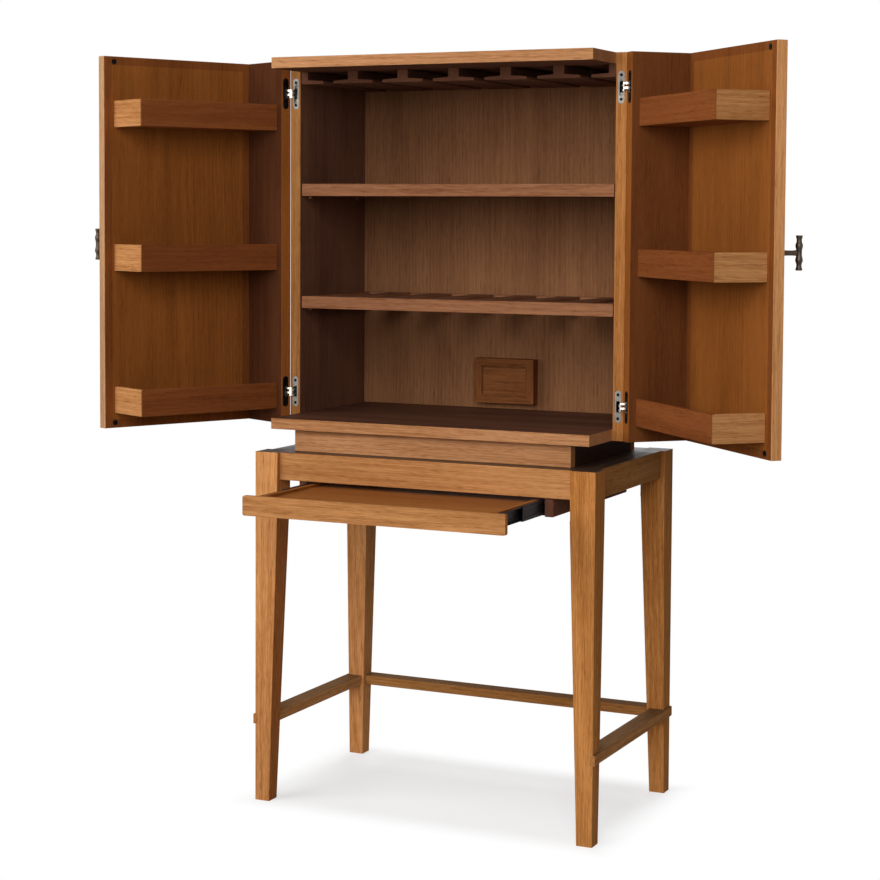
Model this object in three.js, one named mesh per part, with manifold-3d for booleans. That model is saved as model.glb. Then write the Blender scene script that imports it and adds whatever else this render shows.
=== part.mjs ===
// Bar armoire: a case with two box doors on a stand with four tapered legs and a pull-out tray.
// Millimetres, +Z up. The front faces -Y, and y is zero at the front edges of the case sides.
// It is posed as it is shown, with both doors open and the tray drawn out.
import * as THREE from "three";
import { mergeVertices } from "three/addons/utils/BufferGeometryUtils.js";
import Module from "manifold-3d";

const wasm = await Module();
wasm.setup();

// Case sizes
const caseWidth = 840;
const caseDepth = 342;
const caseHeight = 855;
const caseBoard = 25;
const backPanelThickness = 12;
const slabFrontGap = 3;
const slabEndGap = 1;
const cutOverrun = 5;

// Shelf sizes, heights counted from the underside of the case
const upperShelfHeight = 539;
const slottedShelfHeight = 274;
const shelfThickness = 29;
const shelfSetback = 3;
const shelfEndGap = 3;
const shelfBackGap = 2;
const pegLength = 8;
const pegWidth = 8;
const pegThickness = 6;
const pegInset = 42;
const bottleSlotCount = 7;
const bottleSlotWidth = 56;
const bottleSlotBorder = 26;
const bottleSlotEndStrip = 28;

// Stemware rail sizes
const fullRailCount = 5;
const stemSlotWidth = 26;
const railStemWidth = 26;
const endRailWidth = 59.5;
const endRailStemWidth = 18;
const railDrop = 28.5;
const flangeEdgeThickness = 6.5;
const flangeRootThickness = 9;

// Cable cover sizes
const coverWidth = 156;
const coverHeight = 108;
const coverDepth = 28;
const coverRise = 16;
const coverFrameWidth = 20;
const coverPanelRecess = 4;

// Door sizes
const doorDepth = 166;
const doorBoard = 25;
const doorEdgeGap = 1.5;
const doorMeetingGap = 2;
const turnedGap = 0.3;
const leftDoorDegrees = 116.2;
const rightDoorDegrees = 134.5;

// Door rack sizes, heights counted from the underside of the case
const rackCount = 3;
const lowestRackHeight = 35;
const topRackHeadroom = 101;
const rackHeight = 61;
const rackBoard = 12;
const rackEndInset = 25;
const rackShelfGap = 19;

// Pull handle sizes
const handleHeight = 424;
const handleInset = 23;
const handleReach = 45.5;
const handleBarLength = 72.5;
const handleWaistRadius = 5.8;
const handleWaistHalfLength = 7;
const handleBulgeRadius = 7.8;
const handleBulgeStart = 13;
const handleBulgeEnd = 17;
const handleNeckRadius = 5.4;
const handleNeckOffset = 26;
const handleEndRadius = 7;
const handleEndLength = 3;
const handlePostRadius = 5.6;
const handleFootRadius = 8.5;
const handleFootLength = 10;
const handleSides = 24;

// Concealed hinge sizes
const hingeEndInset = 76;
const hingeLength = 72;
const hingeWidth = 15;
const hingePlateThickness = 3;
const hingeHousingLength = 52;
const hingeHousingWidth = 12;
const hingeHousingDepth = 19;
const hingePocketLength = 25;
const hingePocketWidth = 8;
const hingePocketDepth = 15;
const hingeFitGap = 0.2;
const hingeEndSteps = 8;
const hingeArmCount = 4;
const hingeArmRadius = 7.8;
const hingeArmThickness = 3;
const hingeArmHeight = 4.6;
const hingeArmPitch = 5;
const hingeArmGap = 0.3;
const hingeArmDegrees = 74;
const hingeArmRootDegrees = 19;
const hingeGrooveExtraDegrees = 3;
const hingeArmSteps = 12;

// Plinth sizes
const plinthHeight = 51;
const plinthBoard = 25;
const plinthSideInset = 77;
const plinthFrontInset = 50;
const plinthBackInset = 55;

// Stand sizes
const standHeight = 816;
const legTopWidth = 59;
const legFootWidth = 37;
const legTaperTop = 706;
const railHeight = 64;
const railBoard = 25;
const railRecess = 10.5;
const standTopThickness = 20;

// Stretcher sizes
const stretcherHeight = 179;
const stretcherThickness = 23;
const stretcherWidth = 41.5;
const stretcherProud = 5;
const tongueWidth = 12;
const shoulderGap = 0.3;

// Tray sizes
const trayDrawn = 237;
const trayRailGap = 3;
const trayFrontEndInset = 1.5;
const trayFrontHeight = 44;
const trayFrontThickness = 12;
const trayFrontRound = 4;
const roundSteps = 4;
const trayBodyLength = 428;
const trayRimHeight = 32;
const trayRimThickness = 12;
const trayRimDrop = 2;
const trayPanelDrop = 6;
const trayPanelThickness = 8;

// Runner and telescopic slide sizes
const runnerFrontInset = 20;
const runnerLegGap = 46;
const runnerThickness = 20;
const runnerHeight = 42.5;
const runnerRailLap = 9.5;
const slideThickness = 13;
const slideHeight = 37;
const slideSheet = 1.4;
const slidePlay = 0.5;
const slideLength = 410;
const slideFrontInset = 2;
const slideLipInset = 3;

// Places that follow from the sizes
const caseHalf = caseWidth / 2;
const caseInner = caseHalf - caseBoard;
const frontY = -doorDepth;
const backY = caseDepth;
const backPanelY = backY - backPanelThickness;
const plinthBase = standHeight;
const plinthHalf = caseHalf - plinthSideInset;
const plinthFrontY = frontY + plinthFrontInset;
const plinthBackY = backY - plinthBackInset;
const caseBase = plinthBase + plinthHeight;
const caseTop = caseBase + caseHeight;
const hingeLineX = caseHalf + doorEdgeGap / 2;
const hingeLineY = -doorEdgeGap / 2;
const slabFrontY = frontY + doorBoard + slabFrontGap;
const slabHalf = caseHalf - doorBoard - slabEndGap;
const shelfHalf = caseInner - shelfEndGap;
const bottleSlotSpan = 2 * (shelfHalf - bottleSlotEndStrip) - bottleSlotWidth;
const bottleSlotPitch = bottleSlotSpan / (bottleSlotCount - 1);
const rackRise = caseHeight - lowestRackHeight - rackHeight - topRackHeadroom;
const rackPitch = rackRise / (rackCount - 1);
const railSpan = 2 * (caseInner - endRailWidth) - stemSlotWidth;
const railPitch = railSpan / fullRailCount;
const railUnderside = standHeight - railHeight;
const legInnerX = caseHalf - legTopWidth;
const legBackY = frontY + legTopWidth;
const legFrontY = backY - legTopWidth;
const railInnerX = caseHalf - railRecess - railBoard;
const railFrontInnerY = frontY + railRecess + railBoard;
const railBackInnerY = backY - railRecess - railBoard;
const stretcherTop = stretcherHeight + stretcherThickness;
const stretcherOuterX = caseHalf + stretcherProud;
const tongueInnerX = stretcherOuterX - tongueWidth;
const runnerOuterX = legInnerX - runnerLegGap;
const runnerInnerX = runnerOuterX - runnerThickness;
const trayBodyHalf = runnerInnerX - slideThickness;
const trayFrontHalf = runnerOuterX - trayFrontEndInset;
const runnerFrontY = frontY + runnerFrontInset;
const trayBodyY = frontY + trayFrontThickness - trayDrawn;
const slideMiddleZ = railUnderside - runnerHeight / 2;
const trayTop = railUnderside - trayRailGap;

/** Returns a mesh's solid for manifold-3d, whatever its normals and texture coordinates. */
function solidOf(geometry) {
  const plain = geometry.clone();
  plain.deleteAttribute("normal");
  plain.deleteAttribute("uv");
  const merged = mergeVertices(plain);
  return new wasm.Manifold(
    new wasm.Mesh({
      numProp: 3,
      vertProperties: new Float32Array(merged.attributes.position.array),
      triVerts: new Uint32Array(merged.index.array),
    }),
  );
}

/** Returns a solid as a geometry. */
function geometryOf(solid) {
  const mesh = solid.getMesh();
  const geometry = new THREE.BufferGeometry();
  geometry.setAttribute("position", new THREE.BufferAttribute(mesh.vertProperties, mesh.numProp));
  geometry.setIndex(new THREE.BufferAttribute(mesh.triVerts, 1));
  geometry.computeVertexNormals();
  return geometry;
}

/** Joins geometries that touch or cross into one. */
function joined(...geometries) {
  const solids = geometries.map(solidOf);
  return geometryOf(solids.reduce((whole, next) => whole.add(next)));
}

/** Takes the later geometries out of the first. */
function cutFrom(geometry, ...tools) {
  const solids = tools.map(solidOf);
  return geometryOf(solids.reduce((rest, tool) => rest.subtract(tool), solidOf(geometry)));
}

/** A box between two x, two y and two z places, in any order. */
function boxOf([xA, xB], [yA, yB], [zA, zB]) {
  const box = new THREE.BoxGeometry(Math.abs(xB - xA), Math.abs(yB - yA), Math.abs(zB - zA));
  box.translate((xA + xB) / 2, (yA + yB) / 2, (zA + zB) / 2);
  return box;
}

/** A box on one side of the middle: side is 1 for the right and -1 for the left. */
function sideBox(side, [xA, xB], ys, zs) {
  return boxOf([side * xA, side * xB], ys, zs);
}

function shapeOf(points) {
  return new THREE.Shape(points.map(([across, up]) => new THREE.Vector2(across, up)));
}

/** An outline in x and y, raised from one height to another. */
function raised(points, zA, zB) {
  const solid = new THREE.ExtrudeGeometry(shapeOf(points), { depth: zB - zA, bevelEnabled: false });
  solid.translate(0, 0, zA);
  return solid;
}

/** An outline in x and z, drawn from one y to another. */
function drawnBack(points, yA, yB) {
  const solid = new THREE.ExtrudeGeometry(shapeOf(points), { depth: yB - yA, bevelEnabled: false });
  solid.rotateX(Math.PI / 2);
  solid.translate(0, yB, 0);
  return solid;
}

/** A named mesh with its own material. */
function piece(name, geometry, material) {
  const mesh = new THREE.Mesh(geometry, material);
  mesh.name = name;
  return mesh;
}

function finish(color, roughness, metalness) {
  return new THREE.MeshStandardMaterial({ color, roughness, metalness });
}

const standWood = () => finish(0xa87145, 0.48, 0);
const caseWood = () => finish(0x9d673e, 0.46, 0);
const innerWood = () => finish(0x7f5132, 0.5, 0);
const doorWood = () => finish(0x94603a, 0.47, 0);
const rackWood = () => finish(0x8f5a35, 0.48, 0);
const blackSteel = () => finish(0x1b1a1b, 0.42, 0.7);
const hingeNickel = () => finish(0xa9a49a, 0.34, 1);
const agedBronze = () => finish(0x3b2f25, 0.45, 0.9);

/** A leg's width at a height: full down to the taper, then narrowing evenly to the foot. */
function legWidthAt(height) {
  const fallShare = Math.max(0, (legTaperTop - height) / legTaperTop);
  return legTopWidth - (legTopWidth - legFootWidth) * fallShare;
}

/** A convex solid through rectangles at rising heights, each given by its x and y ends. */
function stacked(levels) {
  const positions = [];
  const faces = [];
  for (const [[xA, xB], [yA, yB], z] of levels) {
    const [west, east] = [Math.min(xA, xB), Math.max(xA, xB)];
    const [south, north] = [Math.min(yA, yB), Math.max(yA, yB)];
    positions.push(west, south, z, east, south, z, east, north, z, west, north, z);
  }
  const last = 4 * (levels.length - 1);
  faces.push(0, 2, 1, 0, 3, 2, last, last + 1, last + 2, last, last + 2, last + 3);
  for (let base = 0; base < last; base += 4) {
    for (let corner = 0; corner < 4; corner += 1) {
      const next = (corner + 1) % 4;
      faces.push(base + corner, base + next, base + 4 + next);
      faces.push(base + corner, base + 4 + next, base + 4 + corner);
    }
  }
  const solid = new THREE.BufferGeometry();
  solid.setAttribute("position", new THREE.Float32BufferAttribute(positions, 3));
  solid.setIndex(faces);
  return solid;
}

/** A leg: its two outer faces are upright, its two inner faces taper. */
function leg(side, isBack) {
  const outerX = side * caseHalf;
  const outerY = isBack ? backY : frontY;
  const inwardY = isBack ? -1 : 1;
  const level = (height) => {
    const width = legWidthAt(height);
    return [[outerX, outerX - side * width], [outerY, outerY + inwardY * width], height];
  };
  const blank = stacked([level(0), level(legTaperTop), level(standHeight)]);
  const heights = [stretcherHeight, stretcherTop];
  const beyondX = side * (stretcherOuterX + cutOverrun);
  const sideNotch = boxOf(
    [side * tongueInnerX, beyondX],
    [outerY - inwardY * cutOverrun, outerY + inwardY * (legTopWidth + cutOverrun)],
    heights,
  );
  if (!isBack) {
    return cutFrom(blank, sideNotch);
  }
  const backNotch = boxOf(
    [side * (legInnerX - cutOverrun), beyondX],
    [backY + stretcherProud - tongueWidth, backY + stretcherProud + cutOverrun],
    heights,
  );
  return cutFrom(blank, sideNotch, backNotch);
}

/** A side stretcher: a flat board whose outer edge runs on as a tongue over each leg. */
function sideStretcher(side) {
  const shoulder = legWidthAt(stretcherTop) + shoulderGap;
  const innerX = stretcherOuterX - stretcherWidth;
  const outline = [
    [side * stretcherOuterX, frontY],
    [side * stretcherOuterX, backY],
    [side * tongueInnerX, backY],
    [side * tongueInnerX, backY - shoulder],
    [side * innerX, backY - shoulder],
    [side * innerX, frontY + shoulder],
    [side * tongueInnerX, frontY + shoulder],
    [side * tongueInnerX, frontY],
  ];
  return raised(outline, stretcherHeight, stretcherTop);
}

/** The back stretcher: the same board, whose tongues end against those of the sides. */
function backStretcher() {
  const shoulderX = caseHalf - legWidthAt(stretcherTop) - shoulderGap;
  const outerY = backY + stretcherProud;
  const tongueY = outerY - tongueWidth;
  const innerY = outerY - stretcherWidth;
  const outline = [
    [-tongueInnerX, outerY],
    [-tongueInnerX, tongueY],
    [-shoulderX, tongueY],
    [-shoulderX, innerY],
    [shoulderX, innerY],
    [shoulderX, tongueY],
    [tongueInnerX, tongueY],
    [tongueInnerX, outerY],
  ];
  return raised(outline, stretcherHeight, stretcherTop);
}

function frontRail() {
  const ys = [frontY + railRecess, railFrontInnerY];
  return boxOf([-legInnerX, legInnerX], ys, [railUnderside, standHeight]);
}

function backRail() {
  const ys = [railBackInnerY, backY - railRecess];
  return boxOf([-legInnerX, legInnerX], ys, [railUnderside, standHeight]);
}

function sideRail(side) {
  const xs = [railInnerX, caseHalf - railRecess];
  return sideBox(side, xs, [legBackY, legFrontY], [railUnderside, standHeight]);
}

/** The stand's top board, inside the rails and notched round the legs. */
function standTop() {
  const outline = [
    [-legInnerX, railFrontInnerY],
    [legInnerX, railFrontInnerY],
    [legInnerX, legBackY],
    [railInnerX, legBackY],
    [railInnerX, legFrontY],
    [legInnerX, legFrontY],
    [legInnerX, railBackInnerY],
    [-legInnerX, railBackInnerY],
    [-legInnerX, legFrontY],
    [-railInnerX, legFrontY],
    [-railInnerX, legBackY],
    [-legInnerX, legBackY],
  ];
  return raised(outline, standHeight - standTopThickness, standHeight);
}

/** A plinth board across the front or back, from its outer face at faceY towards inward. */
function plinthCross(faceY, inward) {
  const ys = [faceY, faceY + inward * plinthBoard];
  return boxOf([-plinthHalf, plinthHalf], ys, [plinthBase, caseBase]);
}

/** A plinth board at one side, between the front and back boards. */
function plinthSide(side) {
  const ys = [plinthFrontY + plinthBoard, plinthBackY - plinthBoard];
  return sideBox(side, [plinthHalf - plinthBoard, plinthHalf], ys, [plinthBase, caseBase]);
}

function hingeHeights() {
  return [caseBase + hingeEndInset, caseTop - hingeEndInset];
}

/** The two leaves of a hinge: where each one's face is, and which way it is sunk. */
const caseLeaf = { first: 0, faceY: 0, inward: 1, board: caseBoard, fit: hingeFitGap };
const doorLeaf = { first: 1, faceY: -doorEdgeGap, inward: -1, board: doorBoard, fit: turnedGap };

/** The outline of a hinge plate with round ends, widened by a margin. */
function plateOutline(centreX, centreZ, margin) {
  const radius = hingeWidth / 2 + margin;
  const straight = (hingeLength - hingeWidth) / 2;
  const points = [];
  for (const end of [1, -1]) {
    for (let step = 0; step <= hingeEndSteps; step += 1) {
      const angle = (Math.PI * step) / hingeEndSteps;
      const across = end * radius * Math.cos(angle);
      const up = end * (straight + radius * Math.sin(angle));
      points.push([centreX + across, centreZ + up]);
    }
  }
  return points;
}

/** A hinge leaf's plate, from a place in front of its face to its own thickness. */
function hingePlate(side, centreZ, leaf, margin, ahead) {
  const centreX = side * (caseHalf - leaf.board / 2);
  const ends = [
    leaf.faceY - leaf.inward * ahead,
    leaf.faceY + leaf.inward * (hingePlateThickness + margin),
  ];
  return drawnBack(plateOutline(centreX, centreZ, margin), Math.min(...ends), Math.max(...ends));
}

/** A box behind the middle of a hinge leaf's face, from a place in front of it to a depth. */
function hingeBox(side, centreZ, leaf, [width, length], depth, ahead) {
  const centreX = side * (caseHalf - leaf.board / 2);
  return boxOf(
    [centreX - width / 2, centreX + width / 2],
    [leaf.faceY - leaf.inward * ahead, leaf.faceY + leaf.inward * depth],
    [centreZ - length / 2, centreZ + length / 2],
  );
}

/** The plate and housing of a hinge leaf, widened by a margin. */
function hingeBlock(side, centreZ, leaf, margin, ahead) {
  const section = [hingeHousingWidth + 2 * margin, hingeHousingLength + 2 * margin];
  const housing = hingeBox(side, centreZ, leaf, section, hingeHousingDepth + margin, 0);
  return joined(hingePlate(side, centreZ, leaf, margin, ahead), housing);
}

/** An arc about the hinge line; zero degrees faces the middle of the case, 90 the front. */
function arcOutline(side, innerRadius, outerRadius, fromDegrees, toDegrees) {
  const at = (radius, turnShare) => {
    const degrees = fromDegrees + (toDegrees - fromDegrees) * turnShare;
    const angle = THREE.MathUtils.degToRad(degrees);
    const x = hingeLineX - radius * Math.cos(angle);
    return [side * x, hingeLineY - radius * Math.sin(angle)];
  };
  const outer = [];
  const inner = [];
  for (let step = 0; step <= hingeArmSteps; step += 1) {
    outer.push(at(outerRadius, step / hingeArmSteps));
    inner.push(at(innerRadius, step / hingeArmSteps));
  }
  return [...outer, ...inner.reverse()];
}

/** A leaf's arms, which curve about the hinge line; a margin and extra degrees make grooves. */
function hingeArms(side, centreZ, leaf, margin, extraDegrees) {
  const arms = [];
  const outline = arcOutline(
    side,
    hingeArmRadius - margin,
    hingeArmRadius + hingeArmThickness + margin,
    -leaf.inward * hingeArmRootDegrees,
    leaf.inward * (hingeArmDegrees + extraDegrees),
  );
  const halfHeight = hingeArmHeight / 2 + margin;
  for (let level = leaf.first; level < hingeArmCount; level += 2) {
    const z = centreZ + (level - (hingeArmCount - 1) / 2) * hingeArmPitch;
    arms.push(raised(outline, z - halfHeight, z + halfHeight));
  }
  return arms;
}

/** The grooves that the other leaf's arms slide into as the door closes. */
function hingeGrooves(side, centreZ, leaf) {
  const other = leaf === caseLeaf ? doorLeaf : caseLeaf;
  return hingeArms(side, centreZ, other, hingeArmGap, hingeGrooveExtraDegrees);
}

/** A hinge leaf: a plate and housing with a pocket, and its curved arms. */
function hingeLeaf(side, centreZ, leaf) {
  const opening = [hingePocketWidth, hingePocketLength];
  const pocket = hingeBox(side, centreZ, leaf, opening, hingePocketDepth, cutOverrun);
  const body = cutFrom(hingeBlock(side, centreZ, leaf, 0, 0), pocket);
  const arms = hingeArms(side, centreZ, leaf, 0, 0);
  return cutFrom(joined(body, ...arms), ...hingeGrooves(side, centreZ, leaf));
}

/** What is cut from a board's edge for its two hinge leaves. */
function hingeMortises(side, leaf) {
  return hingeHeights().flatMap((z) => [
    hingeBlock(side, z, leaf, leaf.fit, cutOverrun),
    ...hingeGrooves(side, z, leaf),
  ]);
}

/** The flat-topped pegs that carry one shelf at one side. */
function shelfPegs(side, shelfHeight) {
  const xs = [caseInner - pegLength, caseInner + cutOverrun];
  const zs = [caseBase + shelfHeight - pegThickness, caseBase + shelfHeight];
  const frontPeg = sideBox(side, xs, [pegInset, pegInset + pegWidth], zs);
  const backPeg = sideBox(side, xs, [backPanelY - pegInset - pegWidth, backPanelY - pegInset], zs);
  return [frontPeg, backPeg];
}

/** A case side with its shelf pegs and the mortises for its two hinges. */
function caseSide(side) {
  const board = sideBox(side, [caseInner, caseHalf], [0, backY], [caseBase, caseTop]);
  const pegs = [...shelfPegs(side, upperShelfHeight), ...shelfPegs(side, slottedShelfHeight)];
  return cutFrom(joined(board, ...pegs), ...hingeMortises(side, caseLeaf));
}

/** The top or bottom board: between the sides, and forward of them between the door returns. */
function slab(zA) {
  const outline = [
    [-slabHalf, slabFrontY],
    [slabHalf, slabFrontY],
    [slabHalf, 0],
    [caseInner, 0],
    [caseInner, backY],
    [-caseInner, backY],
    [-caseInner, 0],
    [-slabHalf, 0],
  ];
  return raised(outline, zA, zA + caseBoard);
}

function backPanel() {
  const zs = [caseBase + caseBoard, caseTop - caseBoard];
  return boxOf([-caseInner, caseInner], [backPanelY, backY], zs);
}

function shelfBoard(height) {
  const zs = [caseBase + height, caseBase + height + shelfThickness];
  return boxOf([-shelfHalf, shelfHalf], [shelfSetback, backPanelY - shelfBackGap], zs);
}

/** The lower shelf, with long slots from front to back that cradle bottles. */
function slottedShelf() {
  const slots = [];
  const ys = [shelfSetback + bottleSlotBorder, backPanelY - shelfBackGap - bottleSlotBorder];
  const base = caseBase + slottedShelfHeight;
  const zs = [base - cutOverrun, base + shelfThickness + cutOverrun];
  for (let index = 0; index < bottleSlotCount; index += 1) {
    const centre = (index - (bottleSlotCount - 1) / 2) * bottleSlotPitch;
    slots.push(boxOf([centre - bottleSlotWidth / 2, centre + bottleSlotWidth / 2], ys, zs));
  }
  return cutFrom(shelfBoard(slottedShelfHeight), ...slots);
}

/** A T-section rail that hangs stemware by the foot, with its flange sloped to a thin edge. */
function fullRail(index) {
  const centre = (index - (fullRailCount - 1) / 2) * railPitch;
  const halfStem = railStemWidth / 2;
  const halfFlange = (railPitch - stemSlotWidth) / 2;
  const top = caseTop - caseBoard;
  const bottom = top - railDrop;
  const outline = [
    [centre - halfFlange, bottom],
    [centre + halfFlange, bottom],
    [centre + halfFlange, bottom + flangeEdgeThickness],
    [centre + halfStem, bottom + flangeRootThickness],
    [centre + halfStem, top],
    [centre - halfStem, top],
    [centre - halfStem, bottom + flangeRootThickness],
    [centre - halfFlange, bottom + flangeEdgeThickness],
  ];
  return drawnBack(outline, shelfSetback, backPanelY);
}

/** Half a rail, against the case side. */
function endRail(side) {
  const top = caseTop - caseBoard;
  const bottom = top - railDrop;
  const edge = caseInner - endRailWidth;
  const root = caseInner - endRailStemWidth;
  const outline = [
    [side * edge, bottom],
    [side * caseInner, bottom],
    [side * caseInner, top],
    [side * root, top],
    [side * root, bottom + flangeRootThickness],
    [side * edge, bottom + flangeEdgeThickness],
  ];
  return drawnBack(outline, shelfSetback, backPanelY);
}

/** The cable cover: a low box on the back panel, with a recessed field in its face. */
function cableCover() {
  const half = coverWidth / 2;
  const base = caseBase + caseBoard + coverRise;
  const faceY = backPanelY - coverDepth;
  const box = boxOf([-half, half], [faceY, backPanelY], [base, base + coverHeight]);
  const fieldHalf = half - coverFrameWidth;
  const field = boxOf(
    [-fieldHalf, fieldHalf],
    [faceY - cutOverrun, faceY + coverPanelRecess],
    [base + coverFrameWidth, base + coverHeight - coverFrameWidth],
  );
  return cutFrom(box, field);
}

/** A door's front and return boards as one, before it is turned, with two hinge mortises. */
function doorCorner(side) {
  const outline = [
    [side * (doorMeetingGap / 2), frontY],
    [side * caseHalf, frontY],
    [side * caseHalf, -doorEdgeGap],
    [side * (caseHalf - doorBoard), -doorEdgeGap],
    [side * (caseHalf - doorBoard), frontY + doorBoard],
    [side * (doorMeetingGap / 2), frontY + doorBoard],
  ];
  const board = raised(outline, caseBase, caseTop);
  return cutFrom(board, ...hingeMortises(side, doorLeaf));
}

/** A bottle rack in the corner of a door: a floor, a front board and an end board. */
function doorRack(side, index) {
  const base = caseBase + lowestRackHeight + index * rackPitch;
  const xs = [rackEndInset + doorMeetingGap / 2, caseHalf - doorBoard - turnedGap];
  const ys = [frontY + doorBoard + turnedGap, -rackShelfGap];
  const block = sideBox(side, xs, ys, [base, base + rackHeight]);
  const well = sideBox(
    side,
    [xs[0] + rackBoard, xs[1] + cutOverrun],
    [ys[0] - cutOverrun, ys[1] - rackBoard],
    [base + rackBoard, base + rackHeight + cutOverrun],
  );
  return cutFrom(block, well);
}

/** A round solid about +Y, from radii and the heights they are at. */
function turnedSolid(outline) {
  const points = outline.map(([radius, height]) => new THREE.Vector2(radius, height));
  return new THREE.LatheGeometry(points, handleSides);
}

/** The turned bar of the pull, the same above and below its middle. */
function turnedBar() {
  const half = handleBarLength / 2;
  const upper = [
    [handleWaistRadius, handleWaistHalfLength],
    [handleBulgeRadius, handleBulgeStart],
    [handleBulgeRadius, handleBulgeEnd],
    [handleNeckRadius, handleNeckOffset],
    [handleEndRadius, half - handleEndLength],
    [handleEndRadius, half],
    [0, half],
  ];
  const lower = upper.map(([radius, height]) => [radius, -height]).reverse();
  const bar = turnedSolid([...lower, ...upper]);
  bar.rotateX(Math.PI / 2);
  return bar;
}

/** The post of the pull, from its flared foot to the bar, along +Y. */
function handlePost() {
  const outline = [
    [0, 0],
    [handleFootRadius, 0],
    [handlePostRadius, handleFootLength],
    [handlePostRadius, handleReach - turnedGap],
    [0, handleReach - turnedGap],
  ];
  return turnedSolid(outline);
}

/** The pull handle on a door's outer face. */
function doorHandle(side) {
  const bar = turnedBar();
  bar.translate(0, -handleReach, 0);
  const post = handlePost();
  post.rotateX(Math.PI);
  post.translate(0, -turnedGap, 0);
  const pull = joined(bar, post);
  pull.translate(side * (handleInset + doorMeetingGap / 2), frontY, caseBase + handleHeight);
  return pull;
}

/** A door with all that is fixed to it, turned open about its hinge line. */
function door(side, name, degrees) {
  const turned = new THREE.Group();
  const place = (partName, geometry, material) => {
    geometry.translate(-side * hingeLineX, -hingeLineY, 0);
    turned.add(piece(`${name}_${partName}`, geometry, material));
  };
  place("boards", doorCorner(side), doorWood());
  ["lower", "middle", "upper"].slice(0, rackCount).forEach((level, index) => {
    place(`rack_${level}`, doorRack(side, index), rackWood());
  });
  place("handle", doorHandle(side), agedBronze());
  hingeHeights().forEach((z, index) => {
    const level = index === 0 ? "lower" : "upper";
    place(`hinge_${level}`, hingeLeaf(side, z, doorLeaf), hingeNickel());
  });
  turned.position.set(side * hingeLineX, hingeLineY, 0);
  turned.rotation.z = side * THREE.MathUtils.degToRad(degrees);
  return turned;
}

/** The wooden runner that carries the outer slide, under the front and back rails. */
function trayRunner(side) {
  const xs = [runnerInnerX, runnerOuterX];
  const ys = [runnerFrontY, railBackInnerY + runnerRailLap];
  return sideBox(side, xs, ys, [railUnderside - runnerHeight, railUnderside]);
}

/** A channel that lies open towards -X or +X, with its web at webX and its lips at lipX. */
function channel(side, webX, lipX, halfHeight, drawn) {
  const inward = Math.sign(lipX - webX) * slideSheet;
  const outline = [
    [webX, -halfHeight],
    [lipX, -halfHeight],
    [lipX, -halfHeight + slideSheet],
    [webX + inward, -halfHeight + slideSheet],
    [webX + inward, halfHeight - slideSheet],
    [lipX, halfHeight - slideSheet],
    [lipX, halfHeight],
    [webX, halfHeight],
  ].map(([across, up]) => [side * across, slideMiddleZ + up]);
  const start = runnerFrontY + slideFrontInset - drawn;
  return drawnBack(outline, start, start + slideLength);
}

function outerSlide(side) {
  const lipX = runnerInnerX - slideThickness + slideLipInset;
  return channel(side, runnerInnerX, lipX, slideHeight / 2, 0);
}

/** The middle member, half as far out as the tray. */
function middleSlide(side) {
  const web = runnerInnerX - slideSheet - slidePlay;
  const lipX = trayBodyHalf + slideSheet + slidePlay;
  const half = slideHeight / 2 - slideSheet - slidePlay;
  return channel(side, web, lipX, half, trayDrawn / 2);
}

/** The inner member, on the side of the tray. */
function innerSlide(side) {
  const lipX = runnerInnerX - 2 * (slideSheet + slidePlay);
  const half = slideHeight / 2 - 2 * (slideSheet + slidePlay);
  return channel(side, trayBodyHalf, lipX, half, trayDrawn);
}

/** The tray's front board, with its corners rounded. */
function trayFront() {
  const half = trayFrontHalf;
  const bottom = trayTop - trayFrontHeight;
  const corners = [
    [half - trayFrontRound, trayTop - trayFrontRound, 0],
    [-half + trayFrontRound, trayTop - trayFrontRound, Math.PI / 2],
    [-half + trayFrontRound, bottom + trayFrontRound, Math.PI],
    [half - trayFrontRound, bottom + trayFrontRound, (3 * Math.PI) / 2],
  ];
  const outline = [];
  for (const [x, z, startAngle] of corners) {
    for (let step = 0; step <= roundSteps; step += 1) {
      const angle = startAngle + (Math.PI * step) / (2 * roundSteps);
      outline.push([x + trayFrontRound * Math.cos(angle), z + trayFrontRound * Math.sin(angle)]);
    }
  }
  return drawnBack(outline, frontY - trayDrawn, frontY - trayDrawn + trayFrontThickness);
}

/** The tray's rim: two sides and a back, open to the front board. */
function trayRim() {
  const half = trayBodyHalf;
  const end = trayBodyY + trayBodyLength;
  const top = trayTop - trayRimDrop;
  const block = boxOf([-half, half], [trayBodyY, end], [top - trayRimHeight, top]);
  const well = boxOf(
    [-half + trayRimThickness, half - trayRimThickness],
    [trayBodyY - cutOverrun, end - trayRimThickness],
    [top - trayRimHeight - cutOverrun, top + cutOverrun],
  );
  return cutFrom(block, well);
}

function trayPanel() {
  const half = trayBodyHalf - trayRimThickness;
  const top = trayTop - trayRimDrop - trayPanelDrop;
  const ys = [trayBodyY, trayBodyY + trayBodyLength - trayRimThickness];
  return boxOf([-half, half], ys, [top - trayPanelThickness, top]);
}

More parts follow.
